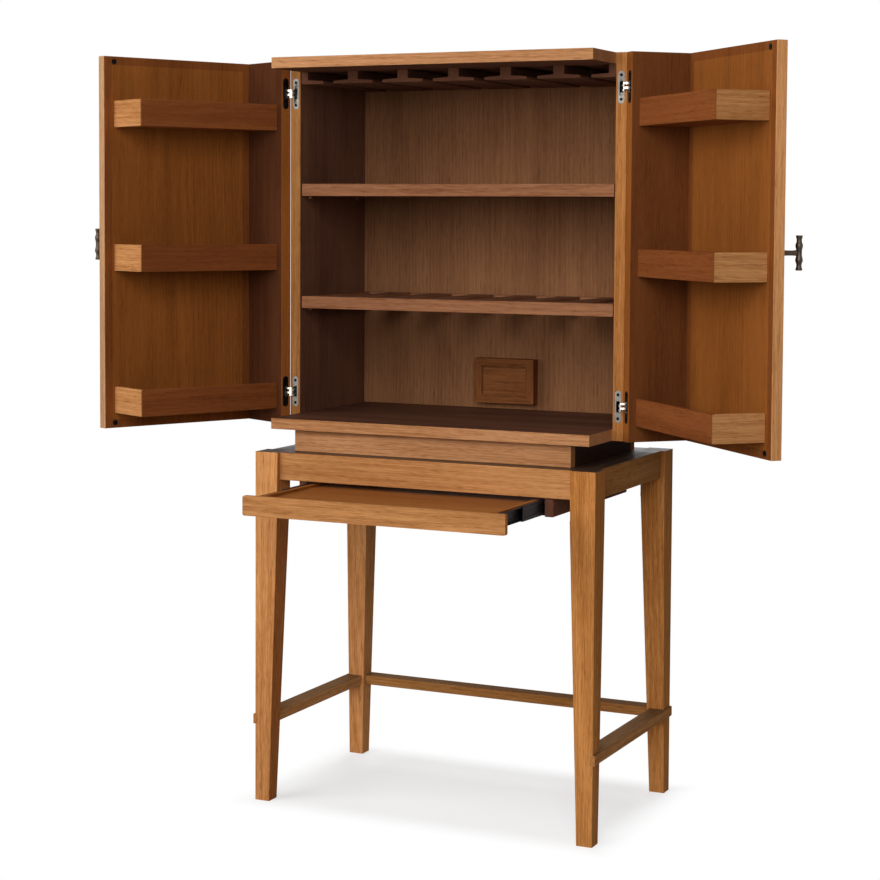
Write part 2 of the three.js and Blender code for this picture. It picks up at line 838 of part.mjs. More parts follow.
function addStand(armoire) {
  for (const [side, sideName] of [[-1, "left"], [1, "right"]]) {
    armoire.add(piece(`leg_front_${sideName}`, leg(side, false), standWood()));
    armoire.add(piece(`leg_back_${sideName}`, leg(side, true), standWood()));
    armoire.add(piece(`rail_${sideName}`, sideRail(side), standWood()));
    armoire.add(piece(`stretcher_${sideName}`, sideStretcher(side), standWood()));
    armoire.add(piece(`plinth_${sideName}`, plinthSide(side), standWood()));
    armoire.add(piece(`tray_runner_${sideName}`, trayRunner(side), innerWood()));
    armoire.add(piece(`slide_outer_${sideName}`, outerSlide(side), blackSteel()));
    armoire.add(piece(`slide_middle_${sideName}`, middleSlide(side), blackSteel()));
    armoire.add(piece(`slide_inner_${sideName}`, innerSlide(side), blackSteel()));
  }
  armoire.add(piece("rail_front", frontRail(), standWood()));
  armoire.add(piece("rail_back", backRail(), standWood()));
  armoire.add(piece("stretcher_back", backStretcher(), standWood()));
  armoire.add(piece("stand_top", standTop(), standWood()));
  armoire.add(piece("plinth_front", plinthCross(plinthFrontY, 1), standWood()));
  armoire.add(piece("plinth_back", plinthCross(plinthBackY, -1), standWood()));
}

function addTray(armoire) {
  armoire.add(piece("tray_front", trayFront(), standWood()));
  armoire.add(piece("tray_rim", trayRim(), innerWood()));
  armoire.add(piece("tray_panel", trayPanel(), innerWood()));
}

function addCase(armoire) {
  for (const [side, sideName] of [[-1, "left"], [1, "right"]]) {
    armoire.add(piece(`case_side_${sideName}`, caseSide(side), caseWood()));
    armoire.add(piece(`stem_rail_end_${sideName}`, endRail(side), innerWood()));
    hingeHeights().forEach((z, index) => {
      const level = index === 0 ? "lower" : "upper";
      const leaf = hingeLeaf(side, z, caseLeaf);
      armoire.add(piece(`case_hinge_${sideName}_${level}`, leaf, hingeNickel()));
    });
  }
  armoire.add(piece("case_bottom", slab(caseBase), caseWood()));
  armoire.add(piece("case_top", slab(caseTop - caseBoard), caseWood()));
  armoire.add(piece("case_back", backPanel(), innerWood()));
  armoire.add(piece("shelf_upper", shelfBoard(upperShelfHeight), caseWood()));
  armoire.add(piece("shelf_slotted", slottedShelf(), caseWood()));
  for (let index = 0; index < fullRailCount; index += 1) {
    armoire.add(piece(`stem_rail_${index + 1}`, fullRail(index), innerWood()));
  }
  armoire.add(piece("cable_cover", cableCover(), innerWood()));
}

/** Puts the middle of the whole part's base at the origin. */
function centred(armoire) {
  armoire.updateMatrixWorld(true);
  const bounds = new THREE.Box3().setFromObject(armoire);
  const middle = bounds.getCenter(new THREE.Vector3());
  armoire.position.set(-middle.x, -middle.y, -bounds.min.z);
  return armoire;
}

const armoire = new THREE.Group();
addStand(armoire);
addTray(armoire);
addCase(armoire);
armoire.add(door(-1, "left_door", leftDoorDegrees));
armoire.add(door(1, "right_door", rightDoorDegrees));

const group = new THREE.Group();
group.add(centred(armoire));

export default group;
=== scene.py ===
"""Looks for a bar armoire: oak boards with eased edges, turned bronze pulls and nickel hinges.

Every board is a copy of its solid, or is built anew in the same place, and rides on its body.
Sizes are in millimetres, in the armoire's own place: x is zero in the middle of the case,
y is zero at the front edges of the case sides, and z is zero at the floor.
"""
import logging
import math
import random
from collections.abc import Callable, Iterable, Sequence
from dataclasses import dataclass, field
from enum import Enum
from typing import Any

import bmesh
import bpy
from mathutils import Matrix, Vector


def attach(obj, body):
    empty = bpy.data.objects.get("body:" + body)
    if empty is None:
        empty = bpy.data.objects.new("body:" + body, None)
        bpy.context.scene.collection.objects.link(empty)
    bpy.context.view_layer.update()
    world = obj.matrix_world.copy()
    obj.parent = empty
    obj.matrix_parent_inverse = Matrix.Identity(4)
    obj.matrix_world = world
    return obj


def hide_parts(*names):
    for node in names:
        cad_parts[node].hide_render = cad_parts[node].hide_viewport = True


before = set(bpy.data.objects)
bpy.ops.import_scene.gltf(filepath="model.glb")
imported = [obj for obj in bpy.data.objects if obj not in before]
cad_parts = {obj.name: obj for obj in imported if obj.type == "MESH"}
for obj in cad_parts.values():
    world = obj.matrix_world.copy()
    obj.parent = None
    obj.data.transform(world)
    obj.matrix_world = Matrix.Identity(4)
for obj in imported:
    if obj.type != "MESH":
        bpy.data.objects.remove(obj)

LOG = logging.getLogger("armoire")
MM = 0.001
WHITE = (1.0, 1.0, 1.0, 1.0)

# The shift from the armoire's own place to its place in the frame
TO_ROW = Vector((-32.454, 28.0, 0.0))

# The part of a normal that points along a way, past which a face looks that way
LOOKS = 0.9
LOOKS_SQUARELY = 0.99

# The middle of the range of a figure that runs from 0 to 1
MIDDLE = 0.5

# The rays that see the background and the floor as white
SEEING_RAYS = ("Is Camera Ray", "Is Glossy Ray", "Is Transmission Ray")

Colour = tuple[float, float, float, float]
Point = tuple[float, float, float]
Span = tuple[float, float]
Cut = tuple[Sequence[float], Sequence[float]]
Outline = Sequence[tuple[float, float]]
Choice = Callable[[Vector, Vector], int]


def stain(code: str) -> Colour:
    """Turns a screen colour into the linear one that shaders take.

    Args:
        code: six hexadecimal digits, red, green and blue.

    Returns:
        The linear colour, opaque.
    """
    channels = [int(code[start:start + 2], 16) / 255 for start in (0, 2, 4)]
    linear = [
        value / 12.92 if value <= 0.04045 else ((value + 0.055) / 1.055) ** 2.4
        for value in channels
    ]
    return (linear[0], linear[1], linear[2], 1.0)


def heading(yaw: float, pitch: float) -> Vector:
    """Works out a direction from two angles.

    Args:
        yaw: degrees from +Y towards +X.
        pitch: degrees above level.

    Returns:
        A unit vector.
    """
    turn, tilt = math.radians(yaw), math.radians(pitch)
    level = math.cos(tilt)
    return Vector((math.sin(turn) * level, math.cos(turn) * level, math.sin(tilt)))


def put(name: str, data: bpy.types.ID) -> bpy.types.Object:
    """Adds an object to the scene, at the origin.

    Args:
        name: its name.
        data: its mesh, lamp or camera.

    Returns:
        The object.
    """
    made = bpy.data.objects.new(name, data)
    bpy.context.scene.collection.objects.link(made)
    return made


class Side(Enum):
    """A side of the armoire, as seen from the front."""

    LEFT = -1
    RIGHT = 1

    @property
    def word(self) -> str:
        """The side's name in lower case."""
        return self.name.lower()


# How far each door stands open, in degrees
OPENINGS = {Side.LEFT: 116.2, Side.RIGHT: 134.5}


class Grain(Enum):
    """The way a board's grain runs, before any door is turned."""

    ACROSS = (1.0, 0.0, 0.0)
    BACKWARD = (0.0, 1.0, 0.0)
    UPRIGHT = (0.0, 0.0, 1.0)

    def turned(self, degrees: float = 0.0) -> Vector:
        """Returns the direction after a turn about the vertical.

        Args:
            degrees: the turn, by the right-hand rule about +Z.

        Returns:
            A unit vector.
        """
        return Matrix.Rotation(math.radians(degrees), 3, "Z") @ Vector(self.value)


class Wire:
    """A shader socket that takes part in Python arithmetic."""

    def __init__(self, tree: "ShaderTree", socket: bpy.types.NodeSocket) -> None:
        """Wraps one output socket of a tree."""
        self.tree = tree
        self.socket = socket

    def math(self, operation: str, *values: Any) -> "Wire":
        """Adds a Math node on these values.

        Args:
            operation: the Math node's operation.
            values: wires or numbers, in the node's order.

        Returns:
            The node's result.
        """
        return self.tree.node("ShaderNodeMath", {"operation": operation}, dict(enumerate(values)))

    def __add__(self, other: Any) -> "Wire":
        """Adds."""
        return self.math("ADD", self, other)

    def __radd__(self, other: Any) -> "Wire":
        """Adds to a number."""
        return self.math("ADD", other, self)

    def __sub__(self, other: Any) -> "Wire":
        """Subtracts."""
        return self.math("SUBTRACT", self, other)

    def __rsub__(self, other: Any) -> "Wire":
        """Subtracts from a number."""
        return self.math("SUBTRACT", other, self)

    def __mul__(self, other: Any) -> "Wire":
        """Multiplies."""
        return self.math("MULTIPLY", self, other)

    def __rmul__(self, other: Any) -> "Wire":
        """Multiplies a number."""
        return self.math("MULTIPLY", other, self)

    def __pow__(self, other: Any) -> "Wire":
        """Raises to a power."""
        return self.math("POWER", self, other)

    def __rpow__(self, other: Any) -> "Wire":
        """Raises a number to this power."""
        return self.math("POWER", other, self)

    def sine(self) -> "Wire":
        """The sine, moved into the range from 0 to 1."""
        return self.math("SINE", self) * MIDDLE + MIDDLE

    def size(self) -> "Wire":
        """The absolute value."""
        return self.math("ABSOLUTE", self)

    def step(self, low: float, high: float) -> "Wire":
        """Rises smoothly from 0 to 1.

        Args:
            low: where the rise starts.
            high: where it ends.

        Returns:
            The eased value.
        """
        return self.tree.node(
            "ShaderNodeMapRange",
            {"interpolation_type": "SMOOTHSTEP"},
            {"Value": self, "From Min": low, "From Max": high},
        )


class ShaderTree:
    """The nodes of a material or of the world, under construction."""

    def __init__(self, owner: bpy.types.Material | bpy.types.World) -> None:
        """Starts with no nodes.

        Args:
            owner: the material or world.
        """
        self.owner = owner
        self.owner.use_nodes = True
        self.graph = owner.node_tree
        self.graph.nodes.clear()

    @classmethod
    def named(cls, name: str) -> "ShaderTree":
        """Starts a new material of this name."""
        return cls(bpy.data.materials.new(name))

    def node(
        self,
        kind: str,
        settings: dict[str, Any] | None = None,
        values: dict[Any, Any] | None = None,
        output: int | str | None = 0,
    ) -> Wire | None:
        """Adds one node.

        Args:
            kind: the node's type.
            settings: what is set on the node itself, first.
            values: what goes into its sockets, as wires or plain values.
            output: the socket to hand back, or None for a node that has none.

        Returns:
            The chosen output.
        """
        made = self.graph.nodes.new(kind)
        for key, value in (settings or {}).items():
            setattr(made, key, value)
        for key, value in (values or {}).items():
            if isinstance(value, Wire):
                self.graph.links.new(value.socket, made.inputs[key])
            else:
                made.inputs[key].default_value = value
        return None if output is None else Wire(self, made.outputs[output])

    def blend(self, share: Any, first: Any, second: Any, mode: str = "MIX") -> Wire:
        """Mixes two colours.

        Args:
            share: how much of the second colour shows.
            first: the colour at a share of 0.
            second: the colour at a share of 1.
            mode: the Mix node's blend type.

        Returns:
            The mixed colour.
        """
        settings = {"data_type": "RGBA", "blend_type": mode}
        return self.node("ShaderNodeMix", settings, {0: share, 6: first, 7: second}, output=2)

    def noise(self, vector: Wire, scale: Sequence[float], detail: float) -> Wire:
        """A smooth noise, finer along the axes with larger factors.

        Args:
            vector: where it is read.
            scale: the three factors.
            detail: how many finer layers it has.

        Returns:
            The noise, around 0.5.
        """
        factors = {0: vector, 1: tuple(scale)}
        stretched = self.node("ShaderNodeVectorMath", {"operation": "MULTIPLY"}, factors)
        values = {"Vector": stretched, "Scale": 1.0, "Detail": detail}
        return self.node("ShaderNodeTexNoise", None, values)

    def part(self, vector: Wire, axis: str) -> Wire:
        """One number of a vector, by its axis letter."""
        return self.node("ShaderNodeSeparateXYZ", None, {0: vector}, output=axis)

    def place(self) -> Wire:
        """Object coordinates, in metres."""
        return self.node("ShaderNodeTexCoord", output="Object")

    def facing(self) -> Wire:
        """The surface's own normal, which turns with the piece."""
        return self.node("ShaderNodeTexCoord", output="Normal")

    def seen(self) -> Wire:
        """Is 1 for the rays that see, and 0 for those that only carry light.

        Returns:
            The switch.
        """
        paths = [self.node("ShaderNodeLightPath", output=ray) for ray in SEEING_RAYS]
        switch = paths[0]
        for path in paths[1:]:
            switch = switch.math("MAXIMUM", switch, path)
        return switch

    def finish(self, surface: dict[str, Any], height: Wire, depth: float) -> bpy.types.Material:
        """Closes the material with a Principled shader in relief.

        Args:
            surface: what goes into the shader's sockets.
            height: the relief, from 0 to 1.
            depth: the relief's depth in millimetres.

        Returns:
            The material.
        """
        relief = {"Strength": 1.0, "Distance": depth * MM, "Height": height}
        normal = self.node("ShaderNodeBump", None, relief)
        sockets = {**surface, "Normal": normal}
        return self.close(self.node("ShaderNodeBsdfPrincipled", None, sockets))

    def close(self, shader: Wire) -> bpy.types.Material | bpy.types.World:
        """Links a shader to the output.

        Args:
            shader: the finished shader.

        Returns:
            The material or world that the nodes belong to.
        """
        is_world = isinstance(self.owner, bpy.types.World)
        kind = "ShaderNodeOutputWorld" if is_world else "ShaderNodeOutputMaterial"
        self.node(kind, None, {"Surface": shader}, output=None)
        return self.owner


@dataclass(frozen=True)
class Figure:
    """A noise, with a scale per metre along each axis, that is raised to run from 0 to 1."""

    scale: Point
    detail: float
    rise: Span

    def on(self, tree: ShaderTree, spot: Wire) -> Wire:
        """Reads the figure at a place."""
        return tree.noise(spot, self.scale, self.detail).step(*self.rise)


@dataclass(frozen=True)
class Oak:
    """Stained oak: growth rings, drifting tone, fibres, flecks and short dark pores.

    X runs along the grain in each figure. A share says how far its layer moves the colour
    between the deep one and the pale one. The ring spacing, sway, lean and relief are in
    millimetres, and the spans in which the pith lies are in metres.
    """

    name: str
    deep: str
    pale: str
    pore: str = "8f6c55"
    roughness: float = 0.55
    specular: float = 0.005
    ring_share: float = 0.15
    tone_share: float = 0.42
    fibre_share: float = 0.4
    fleck_share: float = 0.22
    pore_share: float = 0.5
    board_share: float = 0.12
    end_share: float = 0.3
    colour_rise: Span = (-0.15, 1.15)
    end_rise: Span = (0.6, 0.9)
    tones: Figure = Figure((1.4, 12.0, 12.0), 3.0, (0.28, 0.72))
    fibres: Figure = Figure((9.0, 420.0, 420.0), 2.0, (0.25, 0.75))
    flecks: Figure = Figure((38.0, 330.0, 330.0), 2.0, (0.3, 0.7))
    pores: Figure = Figure((34.0, 760.0, 760.0), 1.0, (0.58, 0.7))
    pore_least: float = 0.4
    pith_spans: tuple[Span, Span, Span] = ((-9.0, 9.0), (0.05, 0.2), (0.04, 0.1))
    ring_spacing: float = 9.0
    sway: float = 35.0
    sway_scale: Point = (0.9, 5.0, 5.0)
    lean: float = 25.0
    lean_scale: Point = (1.3, 7.0, 7.0)
    wobble: float = 3.0
    wobble_scale: Point = (4.0, 70.0, 70.0)
    wobble_detail: float = 2.0
    pore_matt: float = 0.15
    tone_matt: float = 0.08
    end_matt: float = 0.1
    fibre_relief: float = 0.4
    relief: float = 0.08

    def material(self, seed: int, centre: Vector, grain: Vector) -> bpy.types.Material:
        """Makes the finish for one board.

        Args:
            seed: makes the board's figure its own.
            centre: the board's middle, in metres.
            grain: the way its grain runs.

        Returns:
            The material.
        """
        chance = random.Random(seed)
        tree = ShaderTree.named(f"{self.name}_{seed}")
        to_board = grain.rotation_difference(Vector((1.0, 0.0, 0.0))).to_euler()
        pith = Vector([chance.uniform(*span) for span in self.pith_spans])
        shift = pith - to_board.to_matrix() @ centre
        values = {"Vector": tree.place(), "Rotation": to_board, "Location": shift}
        spot = tree.node("ShaderNodeMapping", {"vector_type": "POINT"}, values)
        ring = self.rings(tree, spot)
        tone = self.tones.on(tree, spot)
        fibre = self.fibres.on(tree, spot)
        fleck = self.flecks.on(tree, spot)
        pore = self.pores.on(tree, spot) * (self.pore_least + (1.0 - self.pore_least) * ring)
        share = (
            MIDDLE + (tone - MIDDLE) * self.tone_share + (fibre - MIDDLE) * self.fibre_share
            + (fleck - MIDDLE) * self.fleck_share - (ring - MIDDLE) * self.ring_share
            + chance.uniform(-MIDDLE, MIDDLE) * self.board_share
        )
        colour = tree.blend(share.step(*self.colour_rise), stain(self.deep), stain(self.pale))
        colour = tree.blend(pore * self.pore_share, colour, stain(self.pore), "MULTIPLY")
        end = self.end_mask(tree, grain)
        colour = tree.blend(end * self.end_share, colour, stain(self.deep))
        gloss = (
            self.roughness + pore * self.pore_matt + (MIDDLE - tone) * self.tone_matt
            + end * self.end_matt
        )
        surface = {"Base Color": colour, "Roughness": gloss, "Specular IOR Level": self.specular}
        height = fibre * self.fibre_relief + (1.0 - pore) * (1.0 - self.fibre_relief)
        return tree.finish(surface, height, self.relief)

    def rings(self, tree: ShaderTree, spot: Wire) -> Wire:
        """Cuts through growth rings that bend along the board.

        Args:
            tree: the material.
            spot: the place in the board, with x along the grain.

        Returns:
            The rings, from 0 to 1.
        """
        sway = tree.noise(spot, self.sway_scale, 0.0) - MIDDLE
        lean = tree.noise(spot, self.lean_scale, 0.0) - MIDDLE
        across = tree.part(spot, "Y") + sway * (self.sway * MM)
        deep = tree.part(spot, "Z") + lean * (self.lean * MM)
        radius = (across * across + deep * deep) ** 0.5
        wobble = tree.noise(spot, self.wobble_scale, self.wobble_detail) * self.wobble
        return (radius * (math.tau / (self.ring_spacing * MM)) + wobble).sine()

    def end_mask(self, tree: ShaderTree, grain: Vector) -> Wire:
        """Finds the faces that cut across the grain.

        Args:
            tree: the material.
            grain: the way the grain runs.

        Returns:
            1 on end grain and 0 elsewhere.
        """
        settings = {"operation": "DOT_PRODUCT"}
        values = {0: tree.facing(), 1: tuple(grain)}
        along = tree.node("ShaderNodeVectorMath", settings, values, output="Value")
        return along.size().step(*self.end_rise)


@dataclass(frozen=True)
class Metal:
    """A metal with fine scratches, faint clouding and grime in places."""

    name: str
    colour: str
    grime: str
    roughness: float
    metallic: float = 1.0
    grime_share: float = 0.4
    clouds: Figure = Figure((90.0, 90.0, 90.0), 3.0, (0.35, 0.7))
    patches: Figure = Figure((260.0, 260.0, 260.0), 2.0, (0.4, 0.65))
    brush_scale: Point = (60.0, 60.0, 2400.0)
    brush_detail: float = 2.0
    brush_matt: float = 0.08
    cloud_matt: float = 0.1
    grime_cover: float = 0.25
    brush_relief: float = 0.6
    relief: float = 0.03

    def material(self) -> bpy.types.Material:
        """Makes the finish.

        Returns:
            The material.
        """
        tree = ShaderTree.named(self.name)
        spot = tree.place()
        cloud = self.clouds.on(tree, spot)
        patch = self.patches.on(tree, spot)
        brush = tree.noise(spot, self.brush_scale, self.brush_detail)
        colour = tree.blend(cloud * patch * self.grime_share, stain(self.colour), stain(self.grime))
        gloss = self.roughness + brush * self.brush_matt + cloud * self.cloud_matt
        metal = self.metallic - cloud * patch * self.grime_cover
        surface = {"Base Color": colour, "Roughness": gloss, "Metallic": metal}
        height = brush * self.brush_relief + patch * (1.0 - self.brush_relief)
        return tree.finish(surface, height, self.relief)


# The quieter figure of the boards inside
CALM = {
    "ring_share": 0.1, "tone_share": 0.36, "fibre_share": 0.24, "fleck_share": 0.14,
    "pore_share": 0.4,
}
TAN = Oak("tan_oak", "996133", "cf945e")
# Paler, cooler tan: a painted sheen on the lit fronts of the case's top and bottom and of the
# plinth
SHEEN_TAN = Oak("sheen_tan_oak", "9a653c", "d1996c")
AMBER = Oak("amber_oak", "905729", "c4864d")
LEG = Oak("leg_oak", "a2632d", "db9756")
# Paler tan on the left legs: painted light, as they stand nearer the light from the left
LIT_LEFT_LEG = Oak("lit_left_leg_oak", "ae6f3b", "eaa86c")
# Darker tan for the inner face of the front left leg: painted shade beside the rail
INNER_LEG_SHADE = Oak("inner_leg_shade_oak", "925326", "c67f48")
# Darker finish for the stretchers' tops: painted shade
STRETCHER_TOP_SHADE = Oak("smoked_oak", "654223", "8a6643")
# Darker tan: painted shade on the right rail; the back stretcher and the left side of the case take
# it as well
DARK_TAN = Oak("dark_tan_oak", "865426", "b67f4a")
# Paler tans for the doors' free edges: a painted sheen on the left one and painted light on the
# right one
LEFT_EDGE_SHEEN = Oak("left_edge_sheen_oak", "9c7250", "cc9d74")
RIGHT_EDGE_LIGHT = Oak("right_edge_light_oak", "b47c4b", "eca86d")
# Near-black satin finish for the upward faces at the top of the stand: painted shade under the case
SHADED_TOP = Oak("shaded_top_oak", "2b1a12", "46301f", roughness=0.42, specular=0.3)
# Near-black finish: painted shade on the recessed sides of the plinth and in the hinge pockets
RECESS_SHADE = Oak("recess_shade_oak", "2c1b13", "42291b")
# Darker tan for the inside of the doors: painted shade
DOOR_INSIDE_SHADE = Oak("door_oak", "73401a", "a1602b", **CALM)
# A darker tan for a band round the inside of the doors
DARK_BAND = Oak("lipping_oak", "653618", "8f5228", **CALM)
# Darker still for the inside of the return boards: painted shade, deeper on the left door
LEFT_RETURN_SHADE = Oak("left_return_shade_oak", "442414", "643b25", **CALM)
RIGHT_RETURN_SHADE = Oak("right_return_shade_oak", "552d17", "7b4825", **CALM)
SHADE = Oak("shade_oak", "57352a", "805740", **CALM)
# Darker tan for the back's inner face: painted shade inside the case
BACK = Oak("back_shade_oak", "6a432c", "996b49", **CALM)
# Dark finish for the case's floor: painted shade
CASE_FLOOR_SHADE = Oak("case_floor_shade_oak", "422820", "6c4835", roughness=0.45)
COVER = Oak("cover_oak", "5a3117", "8b5733")
EDGE = Oak("edge_oak", "71442b", "a3704f")
# Darker tan for the racks' floors and front boards, which face the doors' insides: painted shade
RACK_SHADE = Oak("rack_shade_oak", "663519", "92542c", **CALM)
TRAY = Oak("tray_oak", "723f18", "a5652f", roughness=0.4, specular=0.15)
PLATE = Metal("plate", "827f79", "4d4943", 0.42)
ARM = Metal("arm", "f0ece2", "b4aea2", 0.34, grime_share=0.2)
# Black: the screws' own colour, painted shade in the hinge pockets, and a painted dark reflection
# on the doors' hinge plates
SCREW_BLACK_SHADE_REFLECTION = Metal("screw_black_shade_reflection", "171516", "2a2624", 0.5)
SLIDE = Metal("slide", "262329", "3a3637", 0.42)
BRONZE = Metal("bronze", "4d4137", "1d1713", 0.36, 0.9, 0.8)
CATCH = Metal("catch", "121113", "242022", 0.55)

# The boards of the stand that aren't tan
STAND_FINISHES = {
    # The left legs: paler tan, painted light
    "leg_front_left": LIT_LEFT_LEG,
    "leg_back_left": LIT_LEFT_LEG,
    "leg_front_right": LEG,
    "leg_back_right": LEG,
    # The right rail: darker tan, painted shade
    "rail_right": DARK_TAN,
    "stretcher_back": DARK_TAN,
    # The plinth's front: paler tan, a painted sheen
    "plinth_front": SHEEN_TAN,
    # The plinth's sides: near black, painted shade under the case
    "plinth_left": RECESS_SHADE,
    "plinth_right": RECESS_SHADE,
    # The stand's top board: near black, painted shade under the case
    "stand_top": SHADED_TOP,
}


@dataclass(frozen=True)
class Berth:
    """Where a piece goes: its body, its material slot, and the solids that it stands for."""

    body: str
    slot: str
    nodes: tuple[str, ...] = ()


@dataclass
class Hinges:
    """The concealed hinges: satin case plates, dark screws, bright arms, pockets painted black as
    shade.
    """

    line_x: float = 420.75
    line_y: float = -0.75
    line_reach: float = 3.0
    closing: float = 0.65
    leaf_x: float = 407.5
    heights: tuple[float, float] = (943.0, 1646.0)
    screw_offset: float = 26.5
    screw_radius: float = 3.4
    screw_crown: float = 0.06
    screw_rim: float = 0.48
    screw_inner_rim: float = 0.42
    screw_chamfer: float = 0.3
    screw_depth: float = 1.2
    screw_ring_shares: tuple[float, float, float] = (0.3, 0.36, 0.86)
    screw_steps: int = 20
    arm_radii: Span = (7.2, 11.4)
    arm_half_height: float = 10.5
    plate_depth: float = 0.2
    plate_reach: float = 1.2

    def is_on_line(self, place: Vector) -> bool:
        """Says whether a point lies on one of the two hinge lines.

        Args:
            place: the point, in the armoire's place.

        Returns:
            True within a few millimetres of a line.
        """
        return math.hypot(abs(place.x) - self.line_x, place.y - self.line_y) < self.line_reach

    def drawn_in(self, place: Vector) -> Vector:
        """Moves a corner beside a hinge line closer to it, so that no light shows between boards.

        Args:
            place: the corner, in the armoire's place.

        Returns:
            Its new place, within a millimetre of the old one.
        """
        line = Vector((math.copysign(self.line_x, place.x), self.line_y, place.z))
        return place.lerp(line, self.closing)

    def is_arm(self, side: Side, middle: Vector) -> bool:
        """Says whether a face of a leaf belongs to its curved arms.

        Args:
            side: the hinge's side.
            middle: the face's middle, with the door shut.

        Returns:
            True for a face of an arm.
        """
        reach = math.hypot(middle.x - side.value * self.line_x, middle.y - self.line_y)
        height = min(abs(middle.z - level) for level in self.heights)
        return self.arm_radii[0] < reach < self.arm_radii[1] and height < self.arm_half_height

    def screw_outline(self) -> Outline:
        """Draws a countersunk screw head with a dished rim, which looks along +Z.

        Returns:
            Radii and heights, from the crown to the middle of the underside.
        """
        dish, inner_rim, outer_rim = (share * self.screw_radius for share in self.screw_ring_shares)
        return [
            (0.0, self.screw_crown), (dish, self.screw_crown), (inner_rim, self.screw_inner_rim),
            (outer_rim, self.screw_rim), (self.screw_radius, self.screw_chamfer),
            (self.screw_radius, -self.screw_depth), (0.0, -self.screw_depth),
        ]


class Workshop:
    """Makes meshes from bmeshes, dresses them and puts them on their bodies."""

    sharp_degrees = 40.0
    flat_degrees = 0.5
    corner_degrees = 35.0
    merge_distance = 0.01
    pole_distance = 0.001

    def __init__(self, hinges: Hinges) -> None:
        """Starts with no pieces.

        Args:
            hinges: the hinges, on whose lines boards meet closely.
        """
        self.hinges = hinges
        self.seed = 0
        self.metals: dict[str, bpy.types.Material] = {}

    def mesh(
        self, name: str, shape: bmesh.types.BMesh, smooth: int | None = None
    ) -> bpy.types.Object:
        """Turns a bmesh into an object at the origin.

        Args:
            name: the piece's name.
            shape: its bmesh, which is freed.
            smooth: the number of the finish whose faces are shaded smoothly, if there is one.

        Returns:
            The object.
        """
        data = bpy.data.meshes.new(name)
        for face in shape.faces:
            face.smooth = face.material_index == smooth
        shape.to_mesh(data)
        shape.free()
        if smooth is not None:
            data.set_sharp_from_angle(angle=math.radians(self.sharp_degrees))
        return put(name, data)

    def fit(self, piece: bpy.types.Object, berth: Berth) -> None:
        """Puts a piece on its body.

        Args:
            piece: the piece.
            berth: where it goes.
        """
        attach(piece, berth.body)
        if berth.nodes:
            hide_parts(*berth.nodes)
        LOG.info("%s rides on %s, %d faces", piece.name, berth.body, len(piece.data.polygons))

    def wooden(
        self, name: str, shape: bmesh.types.BMesh, berth: Berth, grain: Vector, *finishes: Oak
    ) -> None:
        """Makes a board of a shape and gives it its own figure.

        Args:
            name: the board's name.
            shape: its bmesh, which is freed.
            berth: where it goes.
            grain: the way its grain runs.
            finishes: its finishes, in the order of its faces' material numbers.
        """
        piece = self.mesh(name, shape)
        self.seed += 1
        corners = [Vector(corner) for corner in piece.bound_box]
        centre = sum(corners, Vector()) / len(corners)
        for finish in finishes:
            piece.data.materials.append(finish.material(self.seed, centre, grain))
        self.fit(piece, berth)

    def metallic(
        self, name: str, shape: bmesh.types.BMesh, berth: Berth, *finishes: Metal,
        smooth: int | None = None,
    ) -> None:
        """Makes a metal piece of a shape. Each finish is made once for all the pieces.

        Args:
            name: the piece's name.
            shape: its bmesh, which is freed.
            berth: where it goes.
            finishes: its finishes, in the order of its faces' material numbers.
            smooth: the number of the finish whose faces are shaded smoothly, if there is one.
        """
        piece = self.mesh(name, shape, smooth)
        for finish in finishes:
            if finish.name not in self.metals:
                self.metals[finish.name] = finish.material()
            piece.data.materials.append(self.metals[finish.name])
        self.fit(piece, berth)

    def copy_of(self, node: str) -> bmesh.types.BMesh:
        """Copies a solid, with its doubles merged and its flat faces made whole.

        Args:
            node: the solid's name.

        Returns:
            The copy.
        """
        shape = bmesh.new()
        shape.from_mesh(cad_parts[node].data)
        bmesh.ops.remove_doubles(shape, verts=shape.verts, dist=self.merge_distance * MM)
        bmesh.ops.dissolve_limit(
            shape, angle_limit=math.radians(self.flat_degrees), verts=shape.verts,
            edges=shape.edges,
        )
        return shape

    def eased_copy(self, node: str, width: float, shortest: float = 0.0) -> bmesh.types.BMesh:
        """Copies a solid and rounds its long outer edges.

        Args:
            node: the solid's name.
            width: the rounding.
            shortest: edges under this length stay sharp.

        Returns:
            The copy.
        """
        shape = self.copy_of(node)
        self.ease(shape, width, shortest)
        return shape

    def ease(self, shape: bmesh.types.BMesh, width: float, shortest: float = 0.0) -> None:
        """Rounds a shape's long outer edges, except at the hinge lines, where it is drawn in.

        Args:
            shape: the shape, in metres.
            width: the rounding, in millimetres.
            shortest: edges under this length stay sharp, in millimetres.
        """
        for vertex in shape.verts:
            place = vertex.co / MM - TO_ROW
            if self.hinges.is_on_line(place):
                vertex.co = (self.hinges.drawn_in(place) + TO_ROW) * MM
        edges = [
            edge for edge in shape.edges
            if self.is_outer(edge, shortest * MM) and not self.is_pinned(edge)
        ]
        bmesh.ops.bevel(
            shape, geom=edges, offset=width * MM, offset_type="OFFSET", segments=2, profile=0.5,
            affect="EDGES", clamp_overlap=True, material=-1,
        )

    def is_outer(self, edge: bmesh.types.BMEdge, shortest: float) -> bool:
        """Says whether an edge is a long convex corner of a board.

        Args:
            edge: the edge.
            shortest: the least length, in metres.

        Returns:
            True for an edge that gets rounded.
        """
        if not edge.is_manifold or not edge.is_convex or edge.calc_length() < shortest:
            return False
        return edge.calc_face_angle() > math.radians(self.corner_degrees)

    def is_pinned(self, edge: bmesh.types.BMEdge) -> bool:
        """Says whether an edge lies on a hinge line, where it stays sharp."""
        middle = (edge.verts[0].co + edge.verts[1].co) / 2
        return self.hinges.is_on_line(middle / MM - TO_ROW)

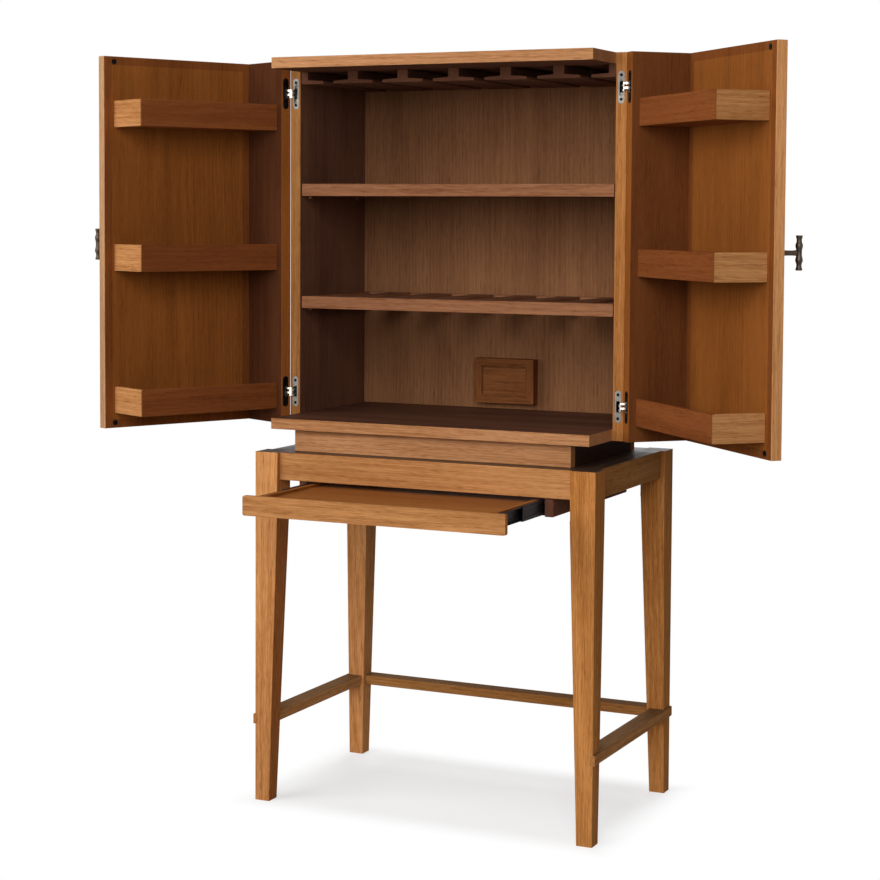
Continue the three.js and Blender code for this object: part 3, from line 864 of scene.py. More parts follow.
    def line_faces(self, shape: bmesh.types.BMesh, choose: Choice) -> None:
        """Gives each face its finish.

        Args:
            shape: the shape, in metres, in the row's place.
            choose: takes a face's middle, in the armoire's place, and its normal, and returns
                the number of its finish.
        """
        shape.normal_update()
        for face in shape.faces:
            middle = face.calc_center_median() / MM - TO_ROW
            face.material_index = int(choose(middle, face.normal))

    def board(
        self, xs: Span, ys: Span, zs: Span, ease: float, cuts: Iterable[Cut] = ()
    ) -> bmesh.types.BMesh:
        """Makes a rectangular board with cut ends and rounded edges.

        Args:
            xs: where it lies from left to right.
            ys: where it lies from front to back.
            zs: its heights.
            ease: the rounding of its edges.
            cuts: planes as points and outward normals, past which the board is cut off.

        Returns:
            The board, in metres, in the row's place.
        """
        shape = bmesh.new()
        bmesh.ops.create_cube(shape, size=1.0)
        lengths = Vector((abs(xs[1] - xs[0]), abs(ys[1] - ys[0]), abs(zs[1] - zs[0])))
        middle = Vector((sum(xs) / 2, sum(ys) / 2, sum(zs) / 2))
        bmesh.ops.scale(shape, vec=lengths * MM, verts=shape.verts)
        bmesh.ops.translate(shape, vec=(middle + TO_ROW) * MM, verts=shape.verts)
        for point, normal in cuts:
            self.cut(shape, Vector(point), Vector(normal))
        self.ease(shape, ease)
        return shape

    def cut(self, shape: bmesh.types.BMesh, point: Vector, normal: Vector) -> None:
        """Cuts a shape off along a plane and closes it.

        Args:
            shape: the shape, in metres, in the row's place.
            point: a point of the plane, in the armoire's place.
            normal: points to the side that goes.
        """
        everything = list(shape.verts) + list(shape.edges) + list(shape.faces)
        bmesh.ops.bisect_plane(
            shape, geom=everything, plane_co=(point + TO_ROW) * MM, plane_no=normal,
            clear_outer=True,
        )
        rim = [edge for edge in shape.edges if edge.is_boundary]
        bmesh.ops.holes_fill(shape, edges=rim)
        bmesh.ops.recalc_face_normals(shape, faces=shape.faces)

    def turned(self, outline: Outline, steps: int) -> bmesh.types.BMesh:
        """Spins an outline about +Z.

        Args:
            outline: radii and heights in millimetres, from one end to the other.
            steps: how many steps the spin has.

        Returns:
            The turned shape, in metres, about the origin.
        """
        shape = bmesh.new()
        verts = [shape.verts.new((radius * MM, 0.0, height * MM)) for radius, height in outline]
        edges = [shape.edges.new(pair) for pair in zip(verts, verts[1:])]
        bmesh.ops.spin(
            shape, geom=verts + edges, cent=(0, 0, 0), axis=(0, 0, 1), angle=math.tau,
            steps=steps, use_merge=True,
        )
        bmesh.ops.remove_doubles(shape, verts=shape.verts, dist=self.pole_distance * MM)
        bmesh.ops.recalc_face_normals(shape, faces=shape.faces)
        return shape

    def place(self, shape: bmesh.types.BMesh, point: Sequence[float], tilt: float = 0.0) -> None:
        """Tilts a shape about +X and moves it from the origin to its place.

        Args:
            shape: the shape, in metres.
            point: its new origin, in the armoire's place.
            tilt: the tilt in degrees, where 90 takes +Z to -Y.
        """
        turn = Matrix.Rotation(math.radians(tilt), 3, "X")
        bmesh.ops.rotate(shape, verts=shape.verts, cent=(0, 0, 0), matrix=turn)
        bmesh.ops.translate(shape, vec=(Vector(point) + TO_ROW) * MM, verts=shape.verts)


@dataclass
class Stand:
    """The stand: tapered legs, rails, stretchers, a satin top, and the plinth on it."""

    ease: float = 1.5
    top_ease: float = 0.3
    long_edge: float = 150.0
    height: float = 816.0
    top_depth: float = 5.0
    body: str = "carcase"
    slot: str = "stand_wood"
    legs: tuple[str, ...] = (
        "leg_front_left", "leg_front_right", "leg_back_left", "leg_back_right",
    )
    across: tuple[str, ...] = (
        "rail_front", "rail_back", "stretcher_back", "plinth_front", "plinth_back",
    )
    backward: tuple[str, ...] = (
        "rail_left", "rail_right", "stretcher_left", "stretcher_right", "plinth_left",
        "plinth_right",
    )

    def build(self, shop: Workshop) -> None:
        """Makes and dresses every board of the stand.

        Args:
            shop: makes the pieces.
        """
        for node in self.legs:
            self.dress(shop, node, Grain.UPRIGHT, self.ease)
        for node in self.across:
            self.dress(shop, node, Grain.ACROSS, self.ease)
        for node in self.backward:
            self.dress(shop, node, Grain.BACKWARD, self.ease)
        self.dress(shop, "stand_top", Grain.ACROSS, self.top_ease)

    def facet(self, node: str, middle: Vector, normal: Vector) -> int:
        """Says which finish a face of a board takes.

        Args:
            node: the board's solid.
            middle: the face's middle, in the armoire's place.
            normal: its normal.

        Returns:
            1 for an upward face at the level of the stand's satin top, painted near black as shade
            under the case, 2 for a stretcher's top, painted darker as shade, 3 for the inner face
            of the front left leg, painted darker as shade, and 0 elsewhere.
        """
        if normal.z > LOOKS:
            is_top = middle.z > self.height - self.top_depth
            return 1 if is_top else 2 * int(node.startswith("stretcher"))
        return 3 * int(node == self.legs[0] and normal.x > LOOKS)

    def dress(self, shop: Workshop, node: str, grain: Grain, ease: float) -> None:
        """Makes one board from its solid.

        Args:
            shop: makes the piece.
            node: the solid.
            grain: the way the grain runs.
            ease: the rounding of its long edges.
        """
        shape = shop.eased_copy(node, ease, self.long_edge)
        shop.line_faces(shape, lambda middle, normal: self.facet(node, middle, normal))
        berth = Berth(self.body, self.slot, (node,))
        # Finishes 1 to 3 are painted shade: upward faces at the top, the stretchers' tops and the
        # leg's inner face
        finishes = (STAND_FINISHES.get(node, TAN), SHADED_TOP, STRETCHER_TOP_SHADE, INNER_LEG_SHADE)
        shop.wooden(f"{node}_board", shape, berth, grain.turned(), *finishes)


@dataclass
class Tray:
    """The pull-out tray with its runners and telescopic slides."""

    half_width: float = 282.0
    board: float = 12.0
    front_y: float = -391.0
    back_y: float = 37.0
    zs: Span = (715.0, 747.0)
    ease: float = 1.2
    rim_ease: float = 0.8
    long_edge: float = 100.0
    bead_inset: float = 7.0
    bead_slope: float = 1.2
    bead_depth: float = 1.0
    front_slot: str = "stand_wood"
    slot: str = "inner_wood"
    slide_slot: str = "slide_steel"

    def build(self, shop: Workshop) -> None:
        """Makes and dresses the tray, its runners and its slides.

        Args:
            shop: makes the pieces.
        """
        panels = (("tray_front", TAN, self.front_slot), ("tray_panel", TRAY, self.slot))
        for node, finish, slot in panels:
            shape = shop.eased_copy(node, self.ease, self.long_edge)
            berth = Berth("tray", slot, (node,))
            shop.wooden(f"{node}_board", shape, berth, Grain.ACROSS.turned(), finish)
        self.build_rim(shop)
        for side in Side:
            node = f"tray_runner_{side.word}"
            shape = shop.eased_copy(node, self.ease)
            berth = Berth("carcase", self.slot, (node,))
            shop.wooden(f"{node}_board", shape, berth, Grain.BACKWARD.turned(), SHADE)
            self.build_slide(shop, side)

    def build_rim(self, shop: Workshop) -> None:
        """Makes the three boards of the rim, mitred at the back corners.

        Args:
            shop: makes the pieces.
        """
        ys = (self.front_y, self.back_y)
        back_cuts = []
        for side in Side:
            corner = (side.value * self.half_width, self.back_y, 0.0)
            xs = (side.value * (self.half_width - self.board), side.value * self.half_width)
            cuts = [(corner, (-side.value, 1.0, 0.0))]
            back_cuts.append((corner, (side.value, -1.0, 0.0)))
            shape = shop.board(xs, ys, self.zs, self.rim_ease, cuts)
            berth = Berth("tray", self.slot)
            shop.wooden(f"tray_rim_{side.word}", shape, berth, Grain.BACKWARD.turned(), TRAY)
        xs = (-self.half_width, self.half_width)
        ys = (self.back_y - self.board, self.back_y)
        shape = shop.board(xs, ys, self.zs, self.rim_ease, back_cuts)
        berth = Berth("tray", self.slot, ("tray_rim",))
        shop.wooden("tray_rim_back", shape, berth, Grain.ACROSS.turned(), TRAY)

    def build_slide(self, shop: Workshop, side: Side) -> None:
        """Blackens the three members of one slide and presses a bead into each.

        Args:
            shop: makes the pieces.
            side: the slide's side.
        """
        bodies = {"outer": "carcase", "middle": "tray_slides", "inner": "tray"}
        for member, body in bodies.items():
            node = f"slide_{member}_{side.word}"
            shape = shop.copy_of(node)
            self.press_bead(shape, side)
            berth = Berth(body, self.slide_slot, (node,))
            shop.metallic(f"{node}_steel", shape, berth, SLIDE)

    def press_bead(self, shape: bmesh.types.BMesh, side: Side) -> None:
        """Presses a long shallow bead into a member's outward web.

        Args:
            shape: the member.
            side: the slide's side.
        """
        shape.normal_update()
        outward = Vector((side.value, 0.0, 0.0))
        webs = [face for face in shape.faces if face.normal.dot(outward) > LOOKS_SQUARELY]
        web = max(webs, key=lambda face: face.calc_area())
        bmesh.ops.inset_region(
            shape, faces=[web], thickness=self.bead_inset * MM, use_even_offset=True
        )
        bmesh.ops.inset_region(
            shape, faces=[web], thickness=self.bead_slope * MM, depth=-self.bead_depth * MM,
            use_even_offset=True,
        )


@dataclass
class CableCover:
    """A low box on the back panel: four mitred frame members round a field."""

    half_width: float = 78.0
    zs: Span = (908.0, 1016.0)
    ys: Span = (302.0, 330.0)
    member: float = 20.0
    recess: float = 4.0
    ease: float = 0.9
    field_ease: float = 0.3
    body: str = "carcase"
    slot: str = "inner_wood"

    def build(self, shop: Workshop) -> None:
        """Makes the four members and the field.

        Args:
            shop: makes the pieces.
        """
        across, upright = Grain.ACROSS.turned(), Grain.UPRIGHT.turned()
        low, high = self.zs
        inner = self.half_width - self.member
        wide = (-self.half_width, self.half_width)
        plain = Berth(self.body, self.slot)
        whole = Berth(self.body, self.slot, ("cable_cover",))
        members = (
            ("bottom", -1, (low, low + self.member), whole),
            ("top", 1, (high - self.member, high), plain),
        )
        for name, sign, zs, berth in members:
            cuts = [(self.corner(side, sign), (side.value, 0.0, -sign)) for side in Side]
            shape = shop.board(wide, self.ys, zs, self.ease, cuts)
            shop.wooden(f"cable_cover_{name}", shape, berth, across, COVER)
        for side in Side:
            xs = (side.value * inner, side.value * self.half_width)
            cuts = [(self.corner(side, sign), (-side.value, 0.0, sign)) for sign in (-1, 1)]
            shape = shop.board(xs, self.ys, self.zs, self.ease, cuts)
            shop.wooden(f"cable_cover_{side.word}", shape, plain, upright, COVER)
        ys = (self.ys[0] + self.recess, self.ys[1])
        zs = (low + self.member, high - self.member)
        shape = shop.board((-inner, inner), ys, zs, self.field_ease)
        shop.wooden("cable_cover_field", shape, plain, across, COVER)

    def corner(self, side: Side, sign: int) -> Point:
        """Returns an outer corner of the frame.

        Args:
            side: its side.
            sign: 1 for the top, -1 for the bottom.

        Returns:
            The corner.
        """
        return (side.value * self.half_width, self.ys[0], self.zs[1] if sign > 0 else self.zs[0])


@dataclass
class Case:
    """The case: sides, top, bottom, back, shelves and the rails under its top."""

    ease: float = 1.5
    long_edge: float = 100.0
    rail_count: int = 5
    side_span: Span = (395.0, 420.0)
    pocket_depth: float = 60.0
    skin: float = 1.0
    body: str = "carcase"
    slot: str = "case_wood"
    inner_slot: str = "inner_wood"
    cover: CableCover = field(default_factory=CableCover)

    def build(self, shop: Workshop) -> None:
        """Makes and dresses every board of the case.

        Args:
            shop: makes the pieces.
        """
        up, down, forward = (0.0, 0.0, 1.0), (0.0, 0.0, -1.0), (0.0, -1.0, 0.0)
        # The case's top and bottom are paler tan outside, a painted sheen
        self.dress(shop, "case_top", Grain.ACROSS, SHEEN_TAN, SHADE, down)
        # The case's floor, the upper face of the bottom, is painted dark as shade
        self.dress(shop, "case_bottom", Grain.ACROSS, SHEEN_TAN, CASE_FLOOR_SHADE, up)
        for side in Side:
            inward = (-side.value, 0.0, 0.0)
            # The left side takes the darker tan
            outside = DARK_TAN if side is Side.LEFT else AMBER
            self.dress(shop, f"case_side_{side.word}", Grain.UPRIGHT, outside, SHADE, inward)
            self.dress(shop, f"stem_rail_end_{side.word}", Grain.BACKWARD, SHADE, SHADE)
        # The back's inner face is darker, as painted shade
        self.dress(shop, "case_back", Grain.UPRIGHT, TAN, BACK, forward)
        for node in ("shelf_upper", "shelf_slotted"):
            self.dress(shop, node, Grain.ACROSS, EDGE, SHADE, up, down)
        for index in range(self.rail_count):
            self.dress(shop, f"stem_rail_{index + 1}", Grain.BACKWARD, SHADE, SHADE)
        self.cover.build(shop)

    def lining(self, middle: Vector, normal: Vector, inward: Iterable[Sequence[float]]) -> int:
        """Says which finish a face of a board takes.

        Args:
            middle: the face's middle, in the armoire's place.
            normal: its normal.
            inward: the ways that the inner faces look.

        Returns:
            1 for an inner face, 2 for a hinge pocket, painted dark as shade, and 0 elsewhere.
        """
        inner, outer = self.side_span
        is_within = inner + self.skin < abs(middle.x) < outer - self.skin
        if is_within and self.skin < middle.y < self.pocket_depth:
            return 2
        return int(any(normal.dot(Vector(way)) > LOOKS for way in inward))

    def dress(
        self, shop: Workshop, node: str, grain: Grain, outside: Oak, inside: Oak,
        *inward: Sequence[float],
    ) -> None:
        """Makes one board from its solid.

        Args:
            shop: makes the piece.
            node: the solid.
            grain: the way the grain runs.
            outside: the board's outer finish.
            inside: the finish of its faces towards the inside, painted darker as shade.
            inward: the ways that those faces look.
        """
        shape = shop.eased_copy(node, self.ease, self.long_edge)
        shop.line_faces(shape, lambda middle, normal: self.lining(middle, normal, inward))
        is_inner = outside is SHADE or node == "case_back"
        berth = Berth(self.body, self.inner_slot if is_inner else self.slot, (node,))
        shop.wooden(f"{node}_board", shape, berth, grain.turned(), outside, inside, RECESS_SHADE)


@dataclass
class Door:
    """One deep door: its boards, corner racks, pull, catch discs and hinge leaves.

    The pull's outlines are radii and heights. The bar's half starts at the bar's middle, and
    the post starts at its foot.
    """

    side: Side
    degrees: float
    hinges: Hinges
    half_width: float = 420.0
    front_y: float = -166.0
    board: float = 25.0
    base: float = 867.0
    top: float = 1722.0
    meeting: float = 1.0
    edge_y: float = -2.0
    gap: float = 0.3
    skin: float = 1.0
    ease: float = 1.4
    long_edge: float = 100.0
    rack_base: float = 35.0
    rack_pitch: float = 329.0
    rack_height: float = 61.0
    rack_board: float = 12.0
    rack_inset: float = 25.0
    rack_shelf_gap: float = 19.0
    rack_ease: float = 1.0
    handle_height: float = 424.0
    handle_inset: float = 23.0
    handle_reach: float = 45.5
    half_bar: Outline = (
        (5.8, 0.0), (5.9, 4.0), (6.4, 8.0), (7.4, 11.5), (7.8, 14.0), (7.7, 16.5), (7.0, 19.0),
        (6.0, 21.0), (5.5, 23.5), (5.4, 26.0), (5.6, 28.5), (6.3, 31.0), (6.9, 32.6),
        (7.0, 34.0), (6.8, 35.4), (6.2, 36.1), (0.0, 36.25),
    )
    bar_steps: int = 36
    post: Outline = (
        (0.0, 0.0), (8.2, 0.0), (8.5, 0.8), (8.4, 2.0), (7.0, 4.0), (6.2, 7.0), (5.8, 10.0),
        (5.6, 16.0), (5.5, 26.0), (5.6, 34.0), (6.0, 38.0), (0.0, 38.2),
    )
    post_steps: int = 32
    catch_inset: float = 26.0
    catch_end_inset: float = 12.5
    catch_radius: float = 6.3
    catch_proud: float = 1.6
    catch_root: float = 2.0
    catch_chamfer: float = 0.5
    catch_dish: float = 0.4
    catch_dish_shares: Span = (0.45, 0.4)
    catch_steps: int = 28
    lipping: float = 18.0
    slot: str = "door_wood"
    rack_slot: str = "rack_wood"
    pull_slot: str = "aged_bronze"
    catch_slot: str = "slide_steel"
    hinge_slot: str = "hinge_steel"

    @property
    def body(self) -> str:
        """The body that the door's pieces ride on."""
        return f"door_{self.side.word}"

    @property
    def turn(self) -> float:
        """The door's turn by the right-hand rule about +Z, in degrees."""
        return self.side.value * self.degrees

    @property
    def line(self) -> Vector:
        """A point of the hinge line, in the armoire's place."""
        return Vector((self.side.value * self.hinges.line_x, self.hinges.line_y, 0.0))

    def hung(self, shape: bmesh.types.BMesh) -> bmesh.types.BMesh:
        """Turns a shape from the shut door's place to the open door's.

        Args:
            shape: the shape, in metres, in the row's place.

        Returns:
            The same shape, turned.
        """
        bmesh.ops.rotate(
            shape, verts=shape.verts, cent=(self.line + TO_ROW) * MM,
            matrix=Matrix.Rotation(math.radians(self.turn), 3, "Z"),
        )
        return shape

    def shut(self, middle: Vector, normal: Vector) -> tuple[Vector, Vector]:
        """Takes a face's place back to that of the shut door.

        Args:
            middle: the face's middle, in the armoire's place.
            normal: its normal.

        Returns:
            Both, as they are when the door is shut.
        """
        back = Matrix.Rotation(math.radians(-self.turn), 3, "Z")
        return back @ (middle - self.line) + self.line, back @ normal

    def lining(self, middle: Vector, normal: Vector) -> int:
        """Says which finish a face of the door's boards takes.

        Args:
            middle: the face's middle, in the armoire's place.
            normal: its normal.

        Returns:
            1 for the inside and the hinge edge, painted darker as shade, 2 for the inside of the
            return board, painted darker still as shade, 3 for a darker band round the inside, 4 for
            the hinge pockets, painted dark as shade, 5 for the free edge, painted paler as light,
            and 0 elsewhere.
        """
        place, way = self.shut(middle, normal)
        reach = abs(place.x)
        inner = self.half_width - self.board
        if way.y > LOOKS and place.y > self.edge_y:
            return 1
        if way.y > LOOKS and place.y < -self.board:
            aside = min(reach - self.meeting, inner - reach)
            ending = min(place.z - self.base, self.top - place.z)
            return 3 if min(aside, ending) < self.lipping else 1
        if -self.side.value * way.x > LOOKS:
            return 2 if reach > inner - self.skin else 5
        is_within = self.base + self.skin < place.z < self.top - self.skin
        is_deep = inner + self.skin < reach < self.half_width - self.skin
        return 4 if is_within and is_deep and place.y > -self.board else 0

    def spread(self, near: float, far: float) -> Span:
        """Puts two distances from the middle on the door's side, in rising order."""
        ends = sorted((self.side.value * near, self.side.value * far))
        return ends[0], ends[1]

    def build(self, shop: Workshop) -> None:
        """Makes and dresses the whole door.

        Args:
            shop: makes the pieces.
        """
        self.build_boards(shop)
        for index, level in enumerate(("lower", "middle", "upper")):
            self.build_rack(shop, index, level)
        self.build_pull(shop)
        self.build_catches(shop)
        self.build_hinges(shop)

    def build_boards(self, shop: Workshop) -> None:
        """Makes the front and return boards, with a darker band round the inside.

        Args:
            shop: makes the piece.
        """
        node = f"{self.side.word}_door_boards"
        shape = shop.eased_copy(node, self.ease, self.long_edge)
        shop.line_faces(shape, self.lining)
        insides = [face for face in shape.faces if face.material_index == 1]
        panel = max(insides, key=lambda face: face.calc_area())
        bmesh.ops.inset_region(
            shape, faces=[panel], thickness=self.lipping * MM, use_even_offset=True
        )
        shop.line_faces(shape, self.lining)
        is_left = self.side is Side.LEFT
        # The return board's inside is painted shade
        return_shade = LEFT_RETURN_SHADE if is_left else RIGHT_RETURN_SHADE
        # The free edge is painted paler as light
        lit_free_edge = LEFT_EDGE_SHEEN if is_left else RIGHT_EDGE_LIGHT
        finishes = (TAN, DOOR_INSIDE_SHADE, return_shade, DARK_BAND, RECESS_SHADE, lit_free_edge)
        berth = Berth(self.body, self.slot, (node,))
        name = f"{self.side.word}_door_panel"
        shop.wooden(name, shape, berth, Grain.UPRIGHT.turned(), *finishes)

    def build_rack(self, shop: Workshop, index: int, level: str) -> None:
        """Makes one rack of a floor, a front board and an end board, mitred at the corner.

        Args:
            shop: makes the pieces.
            index: its number, from the bottom.
            level: its level's name.
        """
        base = self.base + self.rack_base + index * self.rack_pitch
        near = self.rack_inset + self.meeting
        inner = near + self.rack_board
        far = self.half_width - self.board - self.gap
        back = self.front_y + self.board + self.gap
        front = -self.rack_shelf_gap
        low, tall = (base, base + self.rack_board), (base, base + self.rack_height)
        corner = (self.side.value * near, front, 0.0)
        end_cuts = [(corner, (self.side.value, 1.0, 0.0))]
        front_cuts = [(corner, (-self.side.value, -1.0, 0.0))]
        node = f"{self.side.word}_door_rack_{level}"
        plain = Berth(self.body, self.rack_slot)
        whole = Berth(self.body, self.rack_slot, (node,))
        floor = (self.spread(inner, far), (back, front - self.rack_board), low)
        face = (self.spread(near, far), (front - self.rack_board, front), tall)
        end = (self.spread(near, inner), (back, front), tall)
        parts = (
            # The floor and the front board are painted darker as shade
            ("floor", floor, (), Grain.ACROSS, RACK_SHADE, plain),
            ("front", face, front_cuts, Grain.ACROSS, RACK_SHADE, whole),
            ("end", end, end_cuts, Grain.BACKWARD, TAN, plain),
        )
        for name, spans, cuts, grain, finish, berth in parts:
            shape = self.hung(shop.board(*spans, self.rack_ease, cuts))
            shop.wooden(f"{node}_{name}", shape, berth, grain.turned(self.turn), finish)

    def build_pull(self, shop: Workshop) -> None:
        """Makes the turned pull: a bar with bulges and necks, on a post with a flared foot.

        Args:
            shop: makes the pieces.
        """
        mirrored = [(radius, -height) for radius, height in reversed(self.half_bar[1:])]
        bar = shop.turned([*mirrored, *self.half_bar], self.bar_steps)
        post = shop.turned(self.post, self.post_steps)
        x = self.side.value * (self.handle_inset + self.meeting)
        z = self.base + self.handle_height
        shop.place(bar, (x, self.front_y - self.handle_reach, z))
        shop.place(post, (x, self.front_y - self.gap, z), 90.0)
        whole = Berth(self.body, self.pull_slot, (f"{self.side.word}_door_handle",))
        plain = Berth(self.body, self.pull_slot)
        for kind, shape, berth in (("bar", bar, whole), ("post", post, plain)):
            name = f"{self.side.word}_door_pull_{kind}"
            shop.metallic(name, self.hung(shape), berth, BRONZE, smooth=0)

    def build_catches(self, shop: Workshop) -> None:
        """Makes the two black catch discs at the free edge.

        Args:
            shop: makes the pieces.
        """
        radius, proud = self.catch_radius, self.catch_proud
        outer_dish, inner_dish = (share * radius for share in self.catch_dish_shares)
        outline = [
            (0.0, -self.catch_root), (radius, -self.catch_root),
            (radius, proud - self.catch_chamfer), (radius - self.catch_chamfer, proud),
            (outer_dish, proud), (inner_dish, proud - self.catch_dish),
            (0.0, proud - self.catch_dish),
        ]
        x = self.side.value * (self.catch_inset + self.meeting)
        low, high = self.base + self.catch_end_inset, self.top - self.catch_end_inset
        for level, z in (("lower", low), ("upper", high)):
            shape = shop.turned(outline, self.catch_steps)
            shop.place(shape, (x, self.front_y + self.board, z), -90.0)
            name = f"{self.side.word}_door_catch_{level}"
            shop.metallic(name, self.hung(shape), Berth(self.body, self.catch_slot), CATCH)

    def build_hinges(self, shop: Workshop) -> None:
        """Dresses the leaves of both hinges and sets their screws.

        Args:
            shop: makes the pieces.
        """
        word = self.side.word
        for level, height in zip(("lower", "upper"), self.hinges.heights):
            door_leaf = f"{word}_door_hinge_{level}"
            case_leaf = f"case_hinge_{word}_{level}"
            # The door's leaf has a black plate: a painted dark reflection
            self.dress_leaf(shop, door_leaf, self.body, SCREW_BLACK_SHADE_REFLECTION, self.shut_finish)
            self.dress_leaf(shop, case_leaf, "carcase", PLATE, self.open_finish)
            for end, sign in (("low", -1), ("high", 1)):
                z = height + sign * self.hinges.screw_offset
                self.set_screws(shop, (f"{case_leaf}_screw_{end}", f"{door_leaf}_screw_{end}"), z)

    def set_screws(self, shop: Workshop, names: tuple[str, str], z: float) -> None:
        """Sets two facing screws, one in the case's plate and one in the door's.

        Args:
            shop: makes the pieces.
            names: their names, the case's first.
            z: their height.
        """
        x = self.side.value * self.hinges.leaf_x
        case_y = -self.hinges.plate_depth
        case_head, door_head = (
            shop.turned(self.hinges.screw_outline(), self.hinges.screw_steps) for _ in names
        )
        shop.place(case_head, (x, case_y, z), 90.0)
        shop.place(door_head, (x, 2 * self.hinges.line_y - case_y, z), -90.0)
        shop.metallic(names[0], case_head, Berth("carcase", self.hinge_slot), SCREW_BLACK_SHADE_REFLECTION)
        door_berth = Berth(self.body, self.hinge_slot)
        shop.metallic(names[1], self.hung(door_head), door_berth, CATCH)

    def open_finish(self, middle: Vector, normal: Vector) -> int:
        """Says which finish a face of a case leaf takes.

        Args:
            middle: the face's middle, in the armoire's place.
            normal: its normal.

        Returns:
            0 for the plate, 1 for the pocket, which is painted black as shade, and 2 for the arms.
        """
        is_near = abs(middle.y - self.hinges.line_y) < self.hinges.plate_reach
        if is_near and abs(normal.y) > LOOKS_SQUARELY:
            return 0
        return 2 if self.hinges.is_arm(self.side, middle) else 1

    def shut_finish(self, middle: Vector, normal: Vector) -> int:
        """Says which finish a face of a door leaf takes, from its place on the shut door."""
        return self.open_finish(*self.shut(middle, normal))

    def dress_leaf(
        self, shop: Workshop, node: str, body: str, plate: Metal, choose: Choice
    ) -> None:
        """Makes a hinge leaf with a plate, a pocket painted black as shade, and bright arms.

        Args:
            shop: makes the piece.
            node: the leaf's solid.
            body: the body that it rides on.
            plate: the finish of its plate.
            choose: says which finish a face takes.
        """
        shape = shop.copy_of(node)
        shop.line_faces(shape, choose)
        berth = Berth(body, self.hinge_slot, (node,))
        # The pocket is painted black as shade
        shop.metallic(f"{node}_leaf", shape, berth, plate, SCREW_BLACK_SHADE_REFLECTION, ARM, smooth=2)


@dataclass(frozen=True)
class Lamp:
    """A soft square lamp.

    The bearing is from straight in front, to the right, and the height above level, both in
    degrees. Reach and size are in metres. The level is the share of full white that the lamp
    gives a white card held square to it.
    """

    name: str
    bearing: float
    height: float
    level: float
    reach: float = 4.6
    size: float = 2.4

    def build(self, aim: Vector) -> None:
        """Adds the lamp to the scene.

        Args:
            aim: the point that it faces, in metres.
        """
        way = heading(180.0 - self.bearing, self.height)
        data = bpy.data.lights.new(self.name, "AREA")
        data.shape = "SQUARE"
        data.size = self.size
        data.energy = self.level * math.pi ** 2 * self.reach ** 2
        lamp = put(self.name, data)
        lamp.location = aim + way * self.reach
        lamp.rotation_mode = "QUATERNION"
        lamp.rotation_quaternion = (-way).to_track_quat("-Z", "Y")


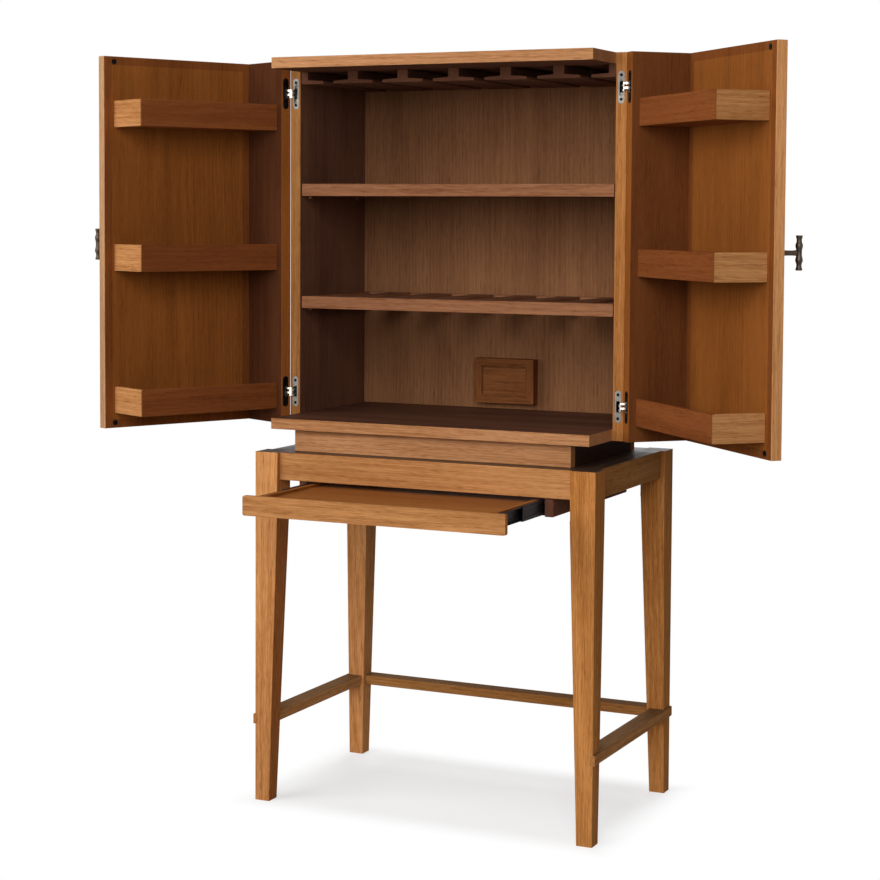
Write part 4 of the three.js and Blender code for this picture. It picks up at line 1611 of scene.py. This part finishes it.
@dataclass
class Studio:
    """The floor, the lamps, the world and the camera.

    The camera's place is in the armoire's, in millimetres. Its focal length and the middle of
    its view are in the picture's pixels. The lamps' aim and the floor's sizes are in metres.
    """

    camera_place: Point = (1998.3, -4284.9, 1371.1)
    yaw: float = -25.14
    pitch: float = -3.39
    roll: float = 0.34
    focal: float = 2069.4
    middle: tuple[float, float] = (446.2, 334.3)
    picture: float = 880.0
    sensor: float = 36.0
    clip: Span = (0.05, 100.0)
    aim: Point = (0.0, 0.0, 1.0)
    lamps: tuple[Lamp, ...] = (
        Lamp("front", 18.0, 20.0, 0.53),
        Lamp("left", -42.0, 20.0, 0.54, 3.5),
        Lamp("above", 20.0, 84.0, 0.16, 3.2, 1.8),
        Lamp("behind", 195.0, 35.0, 0.32),
    )
    ambient: float = 0.09
    floor_half: float = 30.0
    floor_tone: float = 0.5
    floor_glow: float = 0.53
    foot_middle: Span = (-0.0325, 0.116)
    foot_half: Span = (0.42, 0.254)
    fade: Span = (-0.05, 0.07)

    def build(self) -> None:
        """Makes the whole studio."""
        self.build_floor()
        self.build_world()
        for lamp in self.lamps:
            lamp.build(Vector(self.aim))
        self.build_camera()
        bpy.context.scene.view_settings.view_transform = "Standard"

    def build_floor(self) -> None:
        """Makes a pale floor that shows the armoire's shadow and turns white further off."""
        shape = bmesh.new()
        bmesh.ops.create_grid(shape, x_segments=1, y_segments=1, size=self.floor_half)
        data = bpy.data.meshes.new("floor")
        shape.to_mesh(data)
        shape.free()
        floor = put("floor", data)
        tree = ShaderTree.named("floor_pale")
        tone = (self.floor_tone, self.floor_tone, self.floor_tone, 1.0)
        matt = tree.node("ShaderNodeBsdfDiffuse", None, {"Color": tone})
        glow = tree.node("ShaderNodeEmission", None, {"Strength": self.floor_glow})
        white = tree.node("ShaderNodeEmission", None, {"Strength": 1.0})
        near = tree.node("ShaderNodeAddShader", None, {0: matt, 1: glow})
        spot = tree.place()
        aside = (tree.part(spot, "X") - self.foot_middle[0]).size() - self.foot_half[0]
        along = (tree.part(spot, "Y") - self.foot_middle[1]).size() - self.foot_half[1]
        reach = aside.math("MAXIMUM", aside, along)
        fading = {0: reach.step(*self.fade), 1: near, 2: white}
        pale = tree.node("ShaderNodeMixShader", None, fading)
        shader = tree.node("ShaderNodeMixShader", None, {0: tree.seen(), 1: matt, 2: pale})
        floor.data.materials.append(tree.close(shader))

    def build_world(self) -> None:
        """Makes a white background over a plain soft light."""
        tree = ShaderTree(bpy.data.worlds.new("studio"))
        soft = tree.node("ShaderNodeBackground", None, {"Color": WHITE, "Strength": self.ambient})
        white = tree.node("ShaderNodeBackground", None, {"Color": WHITE, "Strength": 1.0})
        shader = tree.node("ShaderNodeMixShader", None, {0: tree.seen(), 1: soft, 2: white})
        bpy.context.scene.world = tree.close(shader)

    def build_camera(self) -> None:
        """Puts the camera where the photograph was taken from."""
        ahead = heading(self.yaw, self.pitch)
        roll = math.radians(self.roll)
        level_right = ahead.cross(Vector((0.0, 0.0, 1.0))).normalized()
        level_up = level_right.cross(ahead)
        right = level_right * math.cos(roll) + level_up * math.sin(roll)
        up = level_up * math.cos(roll) - level_right * math.sin(roll)
        data = bpy.data.cameras.new("view")
        data.sensor_width = self.sensor
        data.lens = self.sensor * self.focal / self.picture
        data.shift_x = (self.picture / 2 - self.middle[0]) / self.picture
        data.shift_y = (self.middle[1] - self.picture / 2) / self.picture
        data.clip_start, data.clip_end = self.clip
        camera = put("view", data)
        turn = Matrix((right, up, -ahead)).transposed()
        place = (Vector(self.camera_place) + TO_ROW) * MM
        camera.matrix_world = Matrix.Translation(place) @ turn.to_4x4()
        bpy.context.scene.camera = camera


def main() -> None:
    """Builds the armoire and its studio."""
    logging.basicConfig(level=logging.INFO, format="%(name)s: %(message)s")
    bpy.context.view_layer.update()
    hinges = Hinges()
    shop = Workshop(hinges)
    Studio().build()
    Stand().build(shop)
    Tray().build(shop)
    Case().build(shop)
    for side, degrees in OPENINGS.items():
        Door(side, degrees, hinges).build(shop)


if __name__ == "__main__":
    main()
